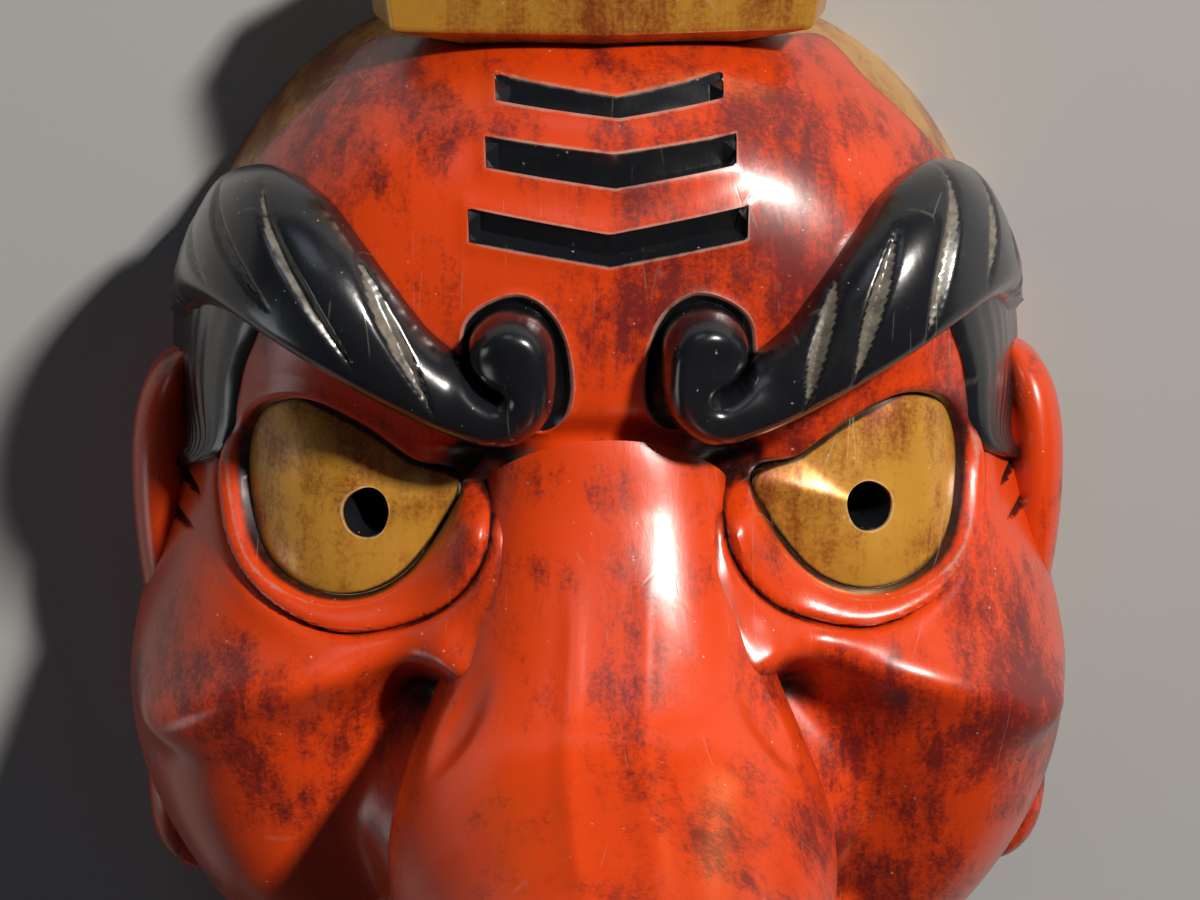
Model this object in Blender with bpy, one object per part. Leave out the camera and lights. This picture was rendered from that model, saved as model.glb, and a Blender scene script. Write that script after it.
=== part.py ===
"""Carved and lacquered wooden long-nosed mask, lying on its back rim.

Metres, +Z out of the face, +Y towards the crown, +X to the right as the face is seen from the
front. The back rim lies in the plane Z = 0 and the origin is under the middle of the whole box.
The mask is one piece of wood: a hollow face with a round-tipped nose, curled brows, sidelocks,
ears with long lobes, and a faceted cap above the forehead.
"""
import math

import bpy
import numpy as np

# Face dome: half width, reach above and below the cheek line, depth and shape of the curves.
CHEEK_LINE_Y = -0.014
FACE_HALF_WIDTH = 0.0995
FACE_UP = 0.1245
FACE_DOWN = 0.128
FACE_DEPTH = 0.092
OUTLINE_POWER_UP = 2.6
OUTLINE_POWER_DOWN = 3.0
SIDE_POWER = 4.0
CROWN_POWER = 9.0
CHIN_POWER = 5.0
DEPTH_POWER = 2.2
WALL = 0.009
RIM_SPARE = 0.002
NOSE_HOLLOW_AT = (0.0, -0.050)
NOSE_HOLLOW_REACH = (0.024, 0.026)
NOSE_HOLLOW_RISE = 0.018
RIM_FADE = 0.035

# Cheeks, sockets, mouth and chin, raised or sunk from the dome.
CHEEK_AT = (0.082, -0.052)
CHEEK_REACH = (0.038, 0.044)
CHEEK_RISE = 0.0150
CHEEKBONE = ((0.036, -0.019), (0.052, -0.023), (0.070, -0.030), (0.083, -0.041))
CHEEKBONE_WIDTH = 0.007
CHEEKBONE_RISE = 0.005
FOLD = ((0.043, -0.034), (0.054, -0.048), (0.060, -0.066), (0.056, -0.088))
FOLD_WIDTH = 0.012
FOLD_DEPTH = 0.012
SOCKET_AT = (0.058, 0.012)
SOCKET_REACH = (0.036, 0.027)
SOCKET_DEPTH = 0.009
NOSE_FLANK = ((0.022, 0.016), (0.027, -0.002), (0.031, -0.018))
NOSE_FLANK_WIDTH = 0.008
NOSE_FLANK_RISE = 0.007
MOUTH = ((0.0, -0.1010), (0.0180, -0.1020), (0.0360, -0.1100))
MUZZLE_AT = (0.0, -0.1000)
MUZZLE_REACH = (0.040, 0.016)
MUZZLE_RISE = 0.004
LIP_WIDTH = 0.0088
LIP_RISE = 0.0056
LIP_SEAT = 0.003
CHIN_Y = -0.127
CHIN_REACH = (0.026, 0.011)
CHIN_RISE = 0.008

# Eyes: the outline runs from the inner corner over the top, the outer side and the bottom.
EYE_OUTLINE = ((0.0315, 0.0138), (0.0430, 0.0195), (0.0555, 0.0275), (0.0700, 0.0325),
               (0.0820, 0.0265), (0.0850, 0.0120), (0.0770, -0.0040), (0.0600, -0.0105),
               (0.0440, -0.0050))
EYE_SINK = 0.0050
EYE_EDGE = -0.0022
EYE_BULGE = 0.0050
EYE_SEAT = 0.0026
EYE_SEAT_SHARE = 0.9
LID_WIDTH = 0.0046
LID_RISE = 0.0022
CREASE_OUT = 0.0062
CREASE_WIDTH = 0.0022
CREASE_DEPTH = 0.0022
CREASE_TOP_Y = (0.018, 0.030)
PUPIL_AT = (0.0565, 0.0080)
PUPIL_SHIFT = 0.0028
PUPIL_BORE = 0.0106

# Brows: upper and lower edges from the curl outwards, and the ball of the curl.
BROW_UPPER = ((0.0090, 0.0420), (0.0190, 0.0430), (0.0300, 0.0445), (0.0380, 0.0512), (0.0446, 0.0600),
              (0.0515, 0.0685), (0.0590, 0.0760), (0.0680, 0.0780), (0.0775, 0.0715),
              (0.0845, 0.0610), (0.0890, 0.0500))
BROW_LOWER = ((0.0095, 0.0350), (0.0175, 0.0277), (0.0270, 0.0268), (0.0385, 0.0302), (0.0500, 0.0362),
              (0.0600, 0.0422), (0.0690, 0.0470), (0.0770, 0.0490), (0.0835, 0.0475),
              (0.0880, 0.0430), (0.0910, 0.0380))
BROW_RISE = 0.0095
BROW_END_RISE = 0.0050
BROW_SEAT = 0.004
BROW_EDGE = 0.0015
CURL_AT = (0.0200, 0.0485)
CURL_RADIUS = (0.0092, 0.0108, 0.0100)
CURL_RISE = 0.0015
BROW_GOUGES = (0.30, 0.43, 0.56, 0.69, 0.82)
GOUGE_WIDTH = 0.0030
GOUGE_SLANT = 0.05
GOUGE_DEPTH = 0.0022
GOUGED_FROM_WIDTH = 0.008

# Sidelocks and ears.
LOCK_FRONT = ((0.0765, 0.0450), (0.0822, 0.0370), (0.0856, 0.0275), (0.0872, 0.0170),
              (0.0900, 0.0080), (0.0935, 0.0010))
LOCK_RISE = 0.0028
LOCK_SEAT = 0.004
LOCK_BACK = 0.90
EAR_TOP_Y = 0.030
EAR_BOTTOM_Y = -0.100
EAR_Z = 0.027
EAR_PROUD = 0.0090
EAR_WAIST_PROUD = 0.0045
EAR_TOP_BREADTH = 0.034
EAR_LOBE_BREADTH = 0.019
EAR_SEAT = 0.0070
EAR_TIP_SHARE = 0.141421
EAR_WAIST_AT = 0.58
EAR_WAIST_SPAN = 0.20

# Nose: stations from root to tip as centre y, centre z, lean of the section, half width,
# half height upwards and half height downwards.
NOSE_STATIONS = (
    (0.0120, 0.0690, 54.0, 0.0260, 0.0205, 0.0100),
    (0.0010, 0.0770, 54.0, 0.0280, 0.0225, 0.0160),
    (-0.0150, 0.0840, 52.0, 0.0300, 0.0250, 0.0200),
    (-0.0330, 0.0920, 44.0, 0.0370, 0.0280, 0.0260),
    (-0.0500, 0.1020, 25.0, 0.0455, 0.0290, 0.0300),
    (-0.0590, 0.1200, 6.0, 0.0480, 0.0300, 0.0290),
    (-0.0600, 0.1420, 0.0, 0.0455, 0.0300, 0.0280),
    (-0.0600, 0.1700, 0.0, 0.0410, 0.0290, 0.0270),
    (-0.0600, 0.1980, 0.0, 0.0360, 0.0280, 0.0265),
    (-0.0605, 0.2180, 0.0, 0.0300, 0.0250, 0.0240),
    (-0.0610, 0.2310, 0.0, 0.0210, 0.0185, 0.0180),
    (-0.0615, 0.2380, 0.0, 0.0100, 0.0090, 0.0090),
)
NOSE_SECTION_POWER = 2.4
NOSE_TIP_REACH = 0.002
NOSTRIL_AT = (0.0200, -0.0915, 0.1170)
NOSTRIL_RADIUS = (0.0090, 0.0100, 0.0110)

# Forehead grooves: middle y, end y, half length, each cut as a V.
GROOVES = ((0.0945, 0.0985, 0.0245), (0.0795, 0.0850, 0.0262), (0.0648, 0.0715, 0.0295))
GROOVE_WIDTH = 0.0066
GROOVE_DEPTH = 0.0044
GROOVE_PROUD = 0.006

# Crown band and cap.
BAND_HEIGHT = 0.032
BAND_RISE = 0.0022
BAND_FROM_Y = 0.045
CAP_OUTLINE = ((0.0, 0.0630), (0.0455, 0.0570), (0.0495, 0.0400), (0.0340, 0.0180))
CAP_BASE_DROP = 0.0020
CAP_SEAT_DROP = 0.0060
CAP_SEAT_SHARE = 0.65
CAP_SHOULDER_RISE = 0.0195
CAP_TOP_RISE = 0.0315
CAP_FLARE = 1.06

# Mesh fineness.
SPOKES = 128
RINGS = 44
HOLLOW_SPOKES = 64
HOLLOW_RINGS = 16
NOSE_SIDES = 40
NOSE_RINGS = 30
FACE_SHARE = 0.28
HOLLOW_SHARE = 0.48
NOSE_SHARE = 0.42
EYE_SHARE = 0.34
BROW_SHARE = 0.48
SLOPE_STEP = 0.0004


def soft_step(low, high, value):
    """Rise smoothly from 0 at low to 1 at high."""
    share = np.clip((value - low) / (high - low), 0.0, 1.0)
    return share * share * (3.0 - 2.0 * share)


def bell(x, y, centre, reach):
    """Round hill of height 1 at centre, falling away over reach."""
    return np.exp(-((x - centre[0]) / reach[0]) ** 2 - ((y - centre[1]) / reach[1]) ** 2)


def smooth_curve(points, steps, closed=False):
    """Points along a smooth curve through the given points."""
    knots = np.array(points, float)
    count = len(knots)
    if closed:
        ring = np.vstack([knots[-1], knots, knots[0], knots[1]])
        spans = count
    else:
        ring = np.vstack([2 * knots[0] - knots[1], knots, 2 * knots[-1] - knots[-2]])
        spans = count - 1
    result = []
    for step in range(steps + (0 if closed else 1)):
        place = spans * step / steps
        span = min(int(place), spans - 1)
        t = place - span
        a, b, c, d = ring[span:span + 4]
        result.append(0.5 * (2 * b + (c - a) * t + (2 * a - 5 * b + 4 * c - d) * t * t
                             + (3 * b - a - 3 * c + d) * t ** 3))
    return np.array(result)


def line_distance(x, y, points):
    """Distance in plan from each place to a polyline."""
    best = np.full(np.shape(x), 1e9)
    for (ax, ay), (bx, by) in zip(points[:-1], points[1:]):
        run = (bx - ax) ** 2 + (by - ay) ** 2
        share = np.clip(((x - ax) * (bx - ax) + (y - ay) * (by - ay)) / run, 0.0, 1.0)
        best = np.minimum(best, np.hypot(x - ax - share * (bx - ax), y - ay - share * (by - ay)))
    return best


def outline_distance(x, y, outline):
    """Distance in plan to a closed outline, negative inside it."""
    loop = np.vstack([outline, outline[:1]])
    inside = np.zeros(np.shape(x), bool)
    for (ax, ay), (bx, by) in zip(loop[:-1], loop[1:]):
        if ay != by:
            inside ^= ((ay > y) != (by > y)) & (x < (bx - ax) * (y - ay) / (by - ay) + ax)
    distance = line_distance(x, y, loop)
    return np.where(inside, -distance, distance)


EYE_CURVE = smooth_curve(EYE_OUTLINE, 54, closed=True)
EYE_MIDDLE = EYE_CURVE.mean(axis=0)


def dome_shape(x, y):
    """Share of the way to the rim, and the power of the fall towards it, at a place in plan."""
    up = np.maximum(y - CHEEK_LINE_Y, 0.0) / FACE_UP
    down = np.maximum(CHEEK_LINE_Y - y, 0.0) / FACE_DOWN
    across = np.abs(x) / FACE_HALF_WIDTH
    along = up + down
    power = np.where(y >= CHEEK_LINE_Y, OUTLINE_POWER_UP, OUTLINE_POWER_DOWN)
    radius = (across ** power + along ** power) ** (1.0 / power)
    end_power = np.where(y >= CHEEK_LINE_Y, CROWN_POWER, CHIN_POWER)
    lengthwise = along ** 2 / np.maximum(across ** 2 + along ** 2, 1e-12)
    return radius, SIDE_POWER + (end_power - SIDE_POWER) * lengthwise


def dome_height(x, y):
    """Height of the plain dome at a place in plan."""
    radius, power = dome_shape(x, y)
    return FACE_DEPTH * np.maximum(1.0 - np.minimum(radius, 1.0) ** power, 0.0) ** (1.0 / DEPTH_POWER)


def broad_relief(x, y):
    """The large swellings and hollows of the face, which the inside follows too."""
    ax = np.abs(x)
    rise = CHEEK_RISE * bell(ax, y, CHEEK_AT, CHEEK_REACH)
    rise = rise - SOCKET_DEPTH * bell(ax, y, SOCKET_AT, SOCKET_REACH)
    fold = line_distance(ax, y, smooth_curve(FOLD, 12))
    rise = rise - FOLD_DEPTH * np.exp(-(fold / FOLD_WIDTH) ** 2)
    return rise


def fine_relief(x, y):
    """Eye beds, creases, cheekbones, muzzle and chin, on the outside only."""
    ax = np.abs(x)
    bone = line_distance(ax, y, smooth_curve(CHEEKBONE, 12))
    rise = CHEEKBONE_RISE * np.exp(-(bone / CHEEKBONE_WIDTH) ** 2)
    flank = line_distance(ax, y, smooth_curve(NOSE_FLANK, 8))
    rise = rise + NOSE_FLANK_RISE * np.exp(-(flank / NOSE_FLANK_WIDTH) ** 2)
    eye = outline_distance(ax, y, EYE_CURVE)
    rise = rise - EYE_SINK * (1.0 - soft_step(-0.5 * LID_WIDTH, 0.8 * LID_WIDTH, eye))
    crease = (eye - CREASE_OUT) / CREASE_WIDTH
    under = 1.0 - soft_step(CREASE_TOP_Y[0], CREASE_TOP_Y[1], y)
    rise = rise - CREASE_DEPTH * np.exp(-crease ** 2) * under
    rise = rise + MUZZLE_RISE * bell(ax, y, MUZZLE_AT, MUZZLE_REACH)
    rise = rise + CHIN_RISE * bell(ax, y, (0.0, CHIN_Y), CHIN_REACH)
    return rise


def face_point(x, y, lift=0.0):
    """A point over the broad face at a place in plan, lifted square to the dome."""
    step = SLOPE_STEP
    slope_x = (dome_height(x + step, y) - dome_height(x - step, y)) / (2 * step)
    slope_y = (dome_height(x, y + step) - dome_height(x, y - step)) / (2 * step)
    normal = np.stack([-slope_x, -slope_y, np.ones(np.shape(x))], axis=-1)
    normal = normal / np.linalg.norm(normal, axis=-1, keepdims=True)
    height = dome_height(x, y)
    rise = broad_relief(x, y) * soft_step(0.0, RIM_FADE, height) + lift
    return np.stack([x, y, height], axis=-1) + normal * np.expand_dims(rise, -1)


def spoke_profile(angle):
    """Direction of one spoke of the dome, and its radius, height and walked length."""
    fine = np.linspace(0.0, math.pi / 2, 400)
    way = np.array([math.cos(angle), math.sin(angle)])
    tiny = 1e-6 * way
    share, power = dome_shape(tiny[0], CHEEK_LINE_Y + tiny[1])
    radius = 1e-6 / share * np.sin(fine) ** (2.0 / power)
    height = FACE_DEPTH * np.cos(fine) ** (2.0 / DEPTH_POWER)
    height[-1] = 0.0
    walk = np.concatenate([[0.0], np.cumsum(np.hypot(np.diff(radius), np.diff(height)))])
    return way, radius, height, walk / walk[-1]


def dome_grid(spokes, rings):
    """Points and outward normals of the plain dome, ring by ring from its middle to its rim."""
    points = np.zeros((rings + 1, spokes, 3))
    stops = np.linspace(0.0, 1.0, rings + 1)
    for spoke in range(spokes):
        way, radius, height, walk = spoke_profile(2 * math.pi * spoke / spokes)
        ring_radius = np.interp(stops, walk, radius)
        points[:, spoke, 0] = ring_radius * way[0]
        points[:, spoke, 1] = CHEEK_LINE_Y + ring_radius * way[1]
        points[:, spoke, 2] = np.interp(stops, walk, height)
    outward = np.gradient(points, axis=0)
    around = np.roll(points, -1, axis=1) - np.roll(points, 1, axis=1)
    normals = np.cross(outward, around)
    normals[0] = (0.0, 0.0, 1.0)
    normals[-1, :, 2] = 0.0
    normals /= np.maximum(np.linalg.norm(normals, axis=2, keepdims=True), 1e-12)
    return points, normals


def side_point(angle, share, lift):
    """A point over the broad face, by spoke angle and share of the way to the rim."""
    way, radius, height, walk = spoke_profile(angle)
    out, up = np.interp(share, walk, radius), np.interp(share, walk, height)
    run = np.interp(share + 0.01, walk, radius) - np.interp(share - 0.01, walk, radius)
    fall = np.interp(share - 0.01, walk, height) - np.interp(share + 0.01, walk, height)
    size = math.hypot(run, fall)
    lift += float(broad_relief(out * way[0], CHEEK_LINE_Y + out * way[1]) * soft_step(0.0, RIM_FADE, up))
    out += lift * fall / size
    return np.array([out * way[0], CHEEK_LINE_Y + out * way[1], up + lift * run / size])


def side_share(x, y):
    """Spoke angle and share of the way to the rim of a place in plan."""
    angle = math.atan2(y - CHEEK_LINE_Y, x)
    _, radius, _, walk = spoke_profile(angle)
    return angle, np.interp(math.hypot(x, y - CHEEK_LINE_Y), radius, walk)


def loft_faces(rings, sides, closed=True):
    """Quads between rings of points, numbered ring by ring."""
    faces = []
    for ring in range(rings - 1):
        for side in range(sides if closed else sides - 1):
            after = (side + 1) % sides
            faces.append((ring * sides + side, (ring + 1) * sides + side,
                          (ring + 1) * sides + after, ring * sides + after))
    return faces


def new_object(name, vertices, faces, material=None):
    """A mesh object from points and faces, with its normals turned outwards."""
    mesh = bpy.data.meshes.new(name)
    mesh.from_pydata([tuple(map(float, v)) for v in vertices], [], faces)
    mesh.validate()
    shape = bpy.data.objects.new(name, mesh)
    bpy.context.scene.collection.objects.link(shape)
    if material:
        mesh.materials.append(material)
    turn_outwards(mesh)
    return shape


def turn_outwards(mesh):
    """Flip a closed mesh whose signed volume is negative."""
    mesh.calc_loop_triangles()
    points = np.array([v.co for v in mesh.vertices])
    corners = np.array([t.vertices for t in mesh.loop_triangles])
    a, b, c = points[corners[:, 0]], points[corners[:, 1]], points[corners[:, 2]]
    if np.einsum("ij,ij->i", a, np.cross(b, c)).sum() < 0.0:
        mesh.flip_normals()


def lacquer(name, colour, roughness):
    """A plain glossy lacquer."""
    material = bpy.data.materials.new(name)
    material.use_nodes = True
    shader = material.node_tree.nodes["Principled BSDF"]
    shader.inputs["Base Color"].default_value = (*colour, 1.0)
    shader.inputs["Roughness"].default_value = roughness
    shader.inputs["Metallic"].default_value = 0.0
    return material


def dome_solid(name, points, material=None):
    """A closed solid from the rings of a dome, with a flat underside."""
    rings, spokes = points.shape[0] - 1, points.shape[1]
    vertices = [points[0].mean(axis=0)] + list(points[1:].reshape(-1, 3))
    faces = [(0, 1 + side, 1 + (side + 1) % spokes) for side in range(spokes)]
    for ring in range(rings - 1):
        low, high = 1 + ring * spokes, 1 + (ring + 1) * spokes
        for side in range(spokes):
            after = (side + 1) % spokes
            faces.append((low + side, high + side, high + after, low + after))
    faces.append(tuple(1 + (rings - 1) * spokes + side for side in reversed(range(spokes))))
    return new_object(name, vertices, faces, material)


def build_face(material):
    """The outside of the face as a solid, down to just under the rim plane."""
    points, normals = dome_grid(SPOKES, RINGS)
    x, y, height = points[..., 0], points[..., 1], points[..., 2]
    rise = (broad_relief(x, y) + fine_relief(x, y)) * soft_step(0.0, RIM_FADE, height)
    band = (height < BAND_HEIGHT) & (y > BAND_FROM_Y)
    rise = rise + np.where(band, BAND_RISE, 0.0)
    points = points + normals * rise[..., None]
    points[-1, :, 2] = -RIM_SPARE
    return dome_solid("mask", points, material)


def build_hollow():
    """The cutter of the hollow behind the face, a wall inside the dome."""
    points, normals = dome_grid(HOLLOW_SPOKES, HOLLOW_RINGS)
    x, y, height = points[..., 0], points[..., 1], points[..., 2]
    rise = broad_relief(x, y) * soft_step(0.0, RIM_FADE, height) - WALL
    nose = bell(x, y, NOSE_HOLLOW_AT, NOSE_HOLLOW_REACH)
    points = points + normals * (rise + NOSE_HOLLOW_RISE * nose)[..., None]
    points[-1, :, 2] = -2 * RIM_SPARE
    return dome_solid("hollow_cutter", points)


def nose_rings(sides, rings):
    """Points of the nose, ring by ring from root to tip."""
    stations = smooth_curve(NOSE_STATIONS, rings - 1)
    points = np.zeros((rings, sides, 3))
    for ring, (y, z, lean, width, upwards, downwards) in enumerate(stations):
        up = np.array([0.0, math.cos(math.radians(lean)), math.sin(math.radians(lean))])
        for side in range(sides):
            angle = 2 * math.pi * side / sides
            c, s = math.cos(angle), math.sin(angle)
            across = math.copysign(abs(c) ** (2.0 / NOSE_SECTION_POWER), c) * width
            rise = math.copysign(abs(s) ** (2.0 / NOSE_SECTION_POWER), s)
            rise *= upwards if s > 0 else downwards
            points[ring, side] = np.array([across, y, z]) + up * rise
    return points


def build_nose():
    """The long nose, closed at root and tip."""
    points = nose_rings(NOSE_SIDES, NOSE_RINGS)
    tip = points[-1].mean(axis=0) + np.array([0.0, 0.0, NOSE_TIP_REACH])
    vertices = list(points.reshape(-1, 3)) + [points[0].mean(axis=0), tip]
    faces = loft_faces(NOSE_RINGS, NOSE_SIDES)
    root, end = len(vertices) - 2, len(vertices) - 1
    first = (NOSE_RINGS - 1) * NOSE_SIDES
    for side in range(NOSE_SIDES):
        after = (side + 1) % NOSE_SIDES
        faces.append((root, side, after))
        faces.append((end, first + after, first + side))
    return new_object("nose_guide", vertices, faces)


def patch_object(name, top, bottom):
    """A closed solid between two grids of points of the same size."""
    rows, columns = top.shape[:2]
    vertices = list(top.reshape(-1, 3)) + list(bottom.reshape(-1, 3))
    faces = loft_faces(rows, columns, closed=False)
    under = rows * columns
    faces += [tuple(under + index for index in reversed(face)) for face in faces[:]]
    edge = [(0, column) for column in range(columns)]
    edge += [(row, columns - 1) for row in range(1, rows)]
    edge += [(rows - 1, column) for column in range(columns - 2, -1, -1)]
    edge += [(row, 0) for row in range(rows - 2, 0, -1)]
    for (row_a, column_a), (row_b, column_b) in zip(edge, edge[1:] + edge[:1]):
        a = row_a * columns + column_a
        b = row_b * columns + column_b
        faces.append((a, b, under + b, under + a))
    return new_object(name, vertices, faces)


def build_brow(side, rows=30, columns=11):
    """One brow: a rounded band with gouges across it."""
    upper = smooth_curve(BROW_UPPER, rows - 1)
    lower = smooth_curve(BROW_LOWER, rows - 1)
    along = np.linspace(0.0, 1.0, rows)[:, None]
    across = np.linspace(0.0, 1.0, columns)[None, :]
    plan = upper[:, None, :] * (1 - across[..., None]) + lower[:, None, :] * across[..., None]
    arch = np.maximum(1.0 - np.abs(2 * across - 1) ** 2.6, 0.0) ** 0.5
    end = np.sqrt(np.clip(along / 0.07, 0.0, 1.0))
    crest = BROW_RISE + (BROW_END_RISE - BROW_RISE) * soft_step(0.55, 1.0, along)
    lift = BROW_EDGE + (crest - BROW_EDGE) * arch * end
    wide = np.linalg.norm(upper - lower, axis=1)[:, None] > GOUGED_FROM_WIDTH
    length = np.linalg.norm(np.diff(upper, axis=0), axis=1).sum()
    for place in BROW_GOUGES:
        run = np.abs(along - place - GOUGE_SLANT * (0.5 - across)) * length
        taper = np.clip(1.0 - ((across - 0.45) / 0.42) ** 2, 0.0, 1.0)
        lift = lift - GOUGE_DEPTH * np.clip(1.0 - run / GOUGE_WIDTH, 0.0, 1.0) * taper * wide
    top = face_point(plan[..., 0], plan[..., 1], lift)
    bottom = face_point(plan[..., 0], plan[..., 1], -BROW_SEAT)
    if side < 0:
        top[..., 0] *= -1.0
        bottom[..., 0] *= -1.0
    return patch_object("brow_guide", top, bottom)


def build_lip(side_up, rows=17, columns=6):
    """The upper or the lower lip, a rounded band along the closed mouth."""
    half = smooth_curve(MOUTH, rows // 2)
    middle = np.vstack([half[:0:-1] * np.array([-1.0, 1.0]), half])
    count = len(middle)
    along = np.abs(np.linspace(-1.0, 1.0, count))[:, None]
    across = np.linspace(0.0, 1.0, columns)[None, :]
    width = LIP_WIDTH * np.sqrt(np.maximum(1.0 - along ** 4, 0.06))
    plan_y = middle[:, 1:2] + side_up * across * width
    plan_x = np.repeat(middle[:, :1], columns, axis=1)
    lift = LIP_RISE * np.sqrt(np.maximum(1.0 - (2 * across - 1) ** 2, 0.0)) * (1.0 - 0.7 * along ** 3)
    top = face_point(plan_x, plan_y, lift + MUZZLE_RISE * bell(plan_x, plan_y, MUZZLE_AT, MUZZLE_REACH))
    bottom = face_point(plan_x, plan_y, -LIP_SEAT)
    return patch_object("lip_guide", top, bottom)


def build_ball(name, centre, radii, segments=16, rows=9):
    """An upright ball of three radii."""
    bpy.ops.mesh.primitive_uv_sphere_add(segments=segments, ring_count=rows, radius=1.0)
    ball = bpy.context.object
    ball.name = name
    for vertex in ball.data.vertices:
        vertex.co = [c + r * v for c, r, v in zip(centre, radii, vertex.co)]
    return ball


def build_curl(side):
    """The ball in which a brow ends."""
    place = face_point(np.array(CURL_AT[0]), np.array(CURL_AT[1]), CURL_RISE)
    return build_ball("curl_guide", (side * place[0], place[1], place[2]), CURL_RADIUS)


def outset(outline, distance):
    """The outline moved outwards by a distance."""
    run = np.roll(outline, -1, axis=0) - np.roll(outline, 1, axis=0)
    away = np.stack([run[:, 1], -run[:, 0]], axis=1)
    away /= np.linalg.norm(away, axis=1, keepdims=True)
    centre = outline.mean(axis=0)
    facing = np.sign(np.einsum("ij,ij->i", away, outline - centre).sum())
    return outline + away * facing * distance


def build_eye(side, rings=5):
    """One eye, a low dome, with the raised lid round it."""
    outline = EYE_CURVE
    count = len(outline)
    layers = []
    for ring in range(1, rings + 1):
        share = ring / rings
        plan = EYE_MIDDLE + (outline - EYE_MIDDLE) * share
        layers.append(face_point(plan[:, 0], plan[:, 1], EYE_EDGE + EYE_BULGE * (1 - share ** 2)))
    for out, lift in ((0.12, 0.75), (0.45, 1.0), (0.80, 0.75), (1.05, 0.0)):
        plan = outset(outline, out * LID_WIDTH)
        layers.append(face_point(plan[:, 0], plan[:, 1], lift * LID_RISE))
    depth = -EYE_SINK - EYE_SEAT
    plan = outset(outline, 0.9 * LID_WIDTH)
    layers.append(face_point(plan[:, 0], plan[:, 1], 0.6 * depth))
    plan = EYE_MIDDLE + (outline - EYE_MIDDLE) * EYE_SEAT_SHARE
    layers.append(face_point(plan[:, 0], plan[:, 1], depth))
    top = face_point(EYE_MIDDLE[:1], EYE_MIDDLE[1:], EYE_EDGE + EYE_BULGE)[0]
    deep = face_point(EYE_MIDDLE[:1], EYE_MIDDLE[1:], depth)[0]
    vertices = np.vstack([top] + layers + [deep])
    vertices[:, 0] *= side
    faces = []
    last = 1 + (len(layers) - 1) * count
    for index in range(count):
        after = (index + 1) % count
        faces.append((0, 1 + index, 1 + after))
        faces.append((len(vertices) - 1, last + after, last + index))
        for ring in range(len(layers) - 1):
            low, high = 1 + ring * count, 1 + (ring + 1) * count
            faces.append((low + index, high + index, high + after, low + after))
    return new_object("eye_guide", vertices, faces)


def build_lock(side, rows=9, columns=5):
    """The black lock of hair in front of an ear, down to its point."""
    front = smooth_curve(LOCK_FRONT, rows - 1)
    grids = []
    for lift in (LOCK_RISE, -LOCK_SEAT):
        grid = np.zeros((rows, columns, 3))
        for row in range(rows):
            angle, share = side_share(*front[row])
            along = row / (rows - 1)
            back = share + (LOCK_BACK - share) * (1.0 - 0.85 * float(soft_step(0.4, 1.0, along)))
            for column in range(columns):
                place = share + (back - share) * column / (columns - 1)
                grid[row, column] = side_point(angle, place, lift)
        grid[..., 0] *= side
        grids.append(grid)
    return patch_object("lock_guide", *grids)


def build_ear(side, rows=16, sides=10):
    """One long-lobed ear standing off the side of the face."""
    points = np.zeros((rows, sides, 3))
    seat = FACE_HALF_WIDTH - EAR_SEAT
    for row in range(rows):
        share = row / (rows - 1)
        y = EAR_TOP_Y + (EAR_BOTTOM_Y - EAR_TOP_Y) * share
        ends = max(math.sqrt(1.0 - (2 * share - 1) ** 6), EAR_TIP_SHARE)
        waist = math.exp(-((share - EAR_WAIST_AT) / EAR_WAIST_SPAN) ** 2)
        proud = EAR_PROUD + (EAR_WAIST_PROUD - EAR_PROUD) * waist
        reach = seat + (EAR_SEAT + proud) * ends
        breadth = EAR_TOP_BREADTH + (EAR_LOBE_BREADTH - EAR_TOP_BREADTH) * float(soft_step(0.2, 0.8, share))
        for index in range(sides):
            angle = 2 * math.pi * index / sides
            x = 0.5 * (seat + reach) + 0.5 * (reach - seat) * math.cos(angle)
            z = EAR_Z + 0.5 * breadth * ends * math.sin(angle)
            points[row, index] = (side * x, y, z)
    vertices = list(points.reshape(-1, 3)) + [points[0].mean(axis=0), points[-1].mean(axis=0)]
    faces = loft_faces(rows, sides)
    first, last = len(vertices) - 2, len(vertices) - 1
    for index in range(sides):
        after = (index + 1) % sides
        faces.append((first, index, after))
        faces.append((last, (rows - 1) * sides + after, (rows - 1) * sides + index))
    return new_object("ear_guide", vertices, faces)


def build_cap():
    """The faceted cap above the forehead, with a low roof."""
    half = list(CAP_OUTLINE)
    outline = half + [(-x, z) for x, z in reversed(half[1:])]
    middle_z = 0.5 * (CAP_OUTLINE[0][1] + CAP_OUTLINE[-1][1])
    vertices = []
    crown_y = CHEEK_LINE_Y + FACE_UP
    levels = ((-CAP_SEAT_DROP, CAP_SEAT_SHARE), (-CAP_BASE_DROP, 1.0), (CAP_SHOULDER_RISE, CAP_FLARE))
    for rise, flare in levels:
        vertices += [(x * flare, crown_y + rise, middle_z + (z - middle_z) * flare) for x, z in outline]
    count = len(outline)
    vertices.append((0.0, crown_y + CAP_TOP_RISE, middle_z))
    faces = [tuple(range(count))]
    for ring in range(2):
        for index in range(count):
            after = (index + 1) % count
            faces.append((ring * count + after, ring * count + index,
                          (ring + 1) * count + index, (ring + 1) * count + after))
    for index in range(count):
        after = (index + 1) % count
        faces.append((2 * count + after, 2 * count + index, 3 * count))
    return new_object("cap_guide", vertices, faces)


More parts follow.
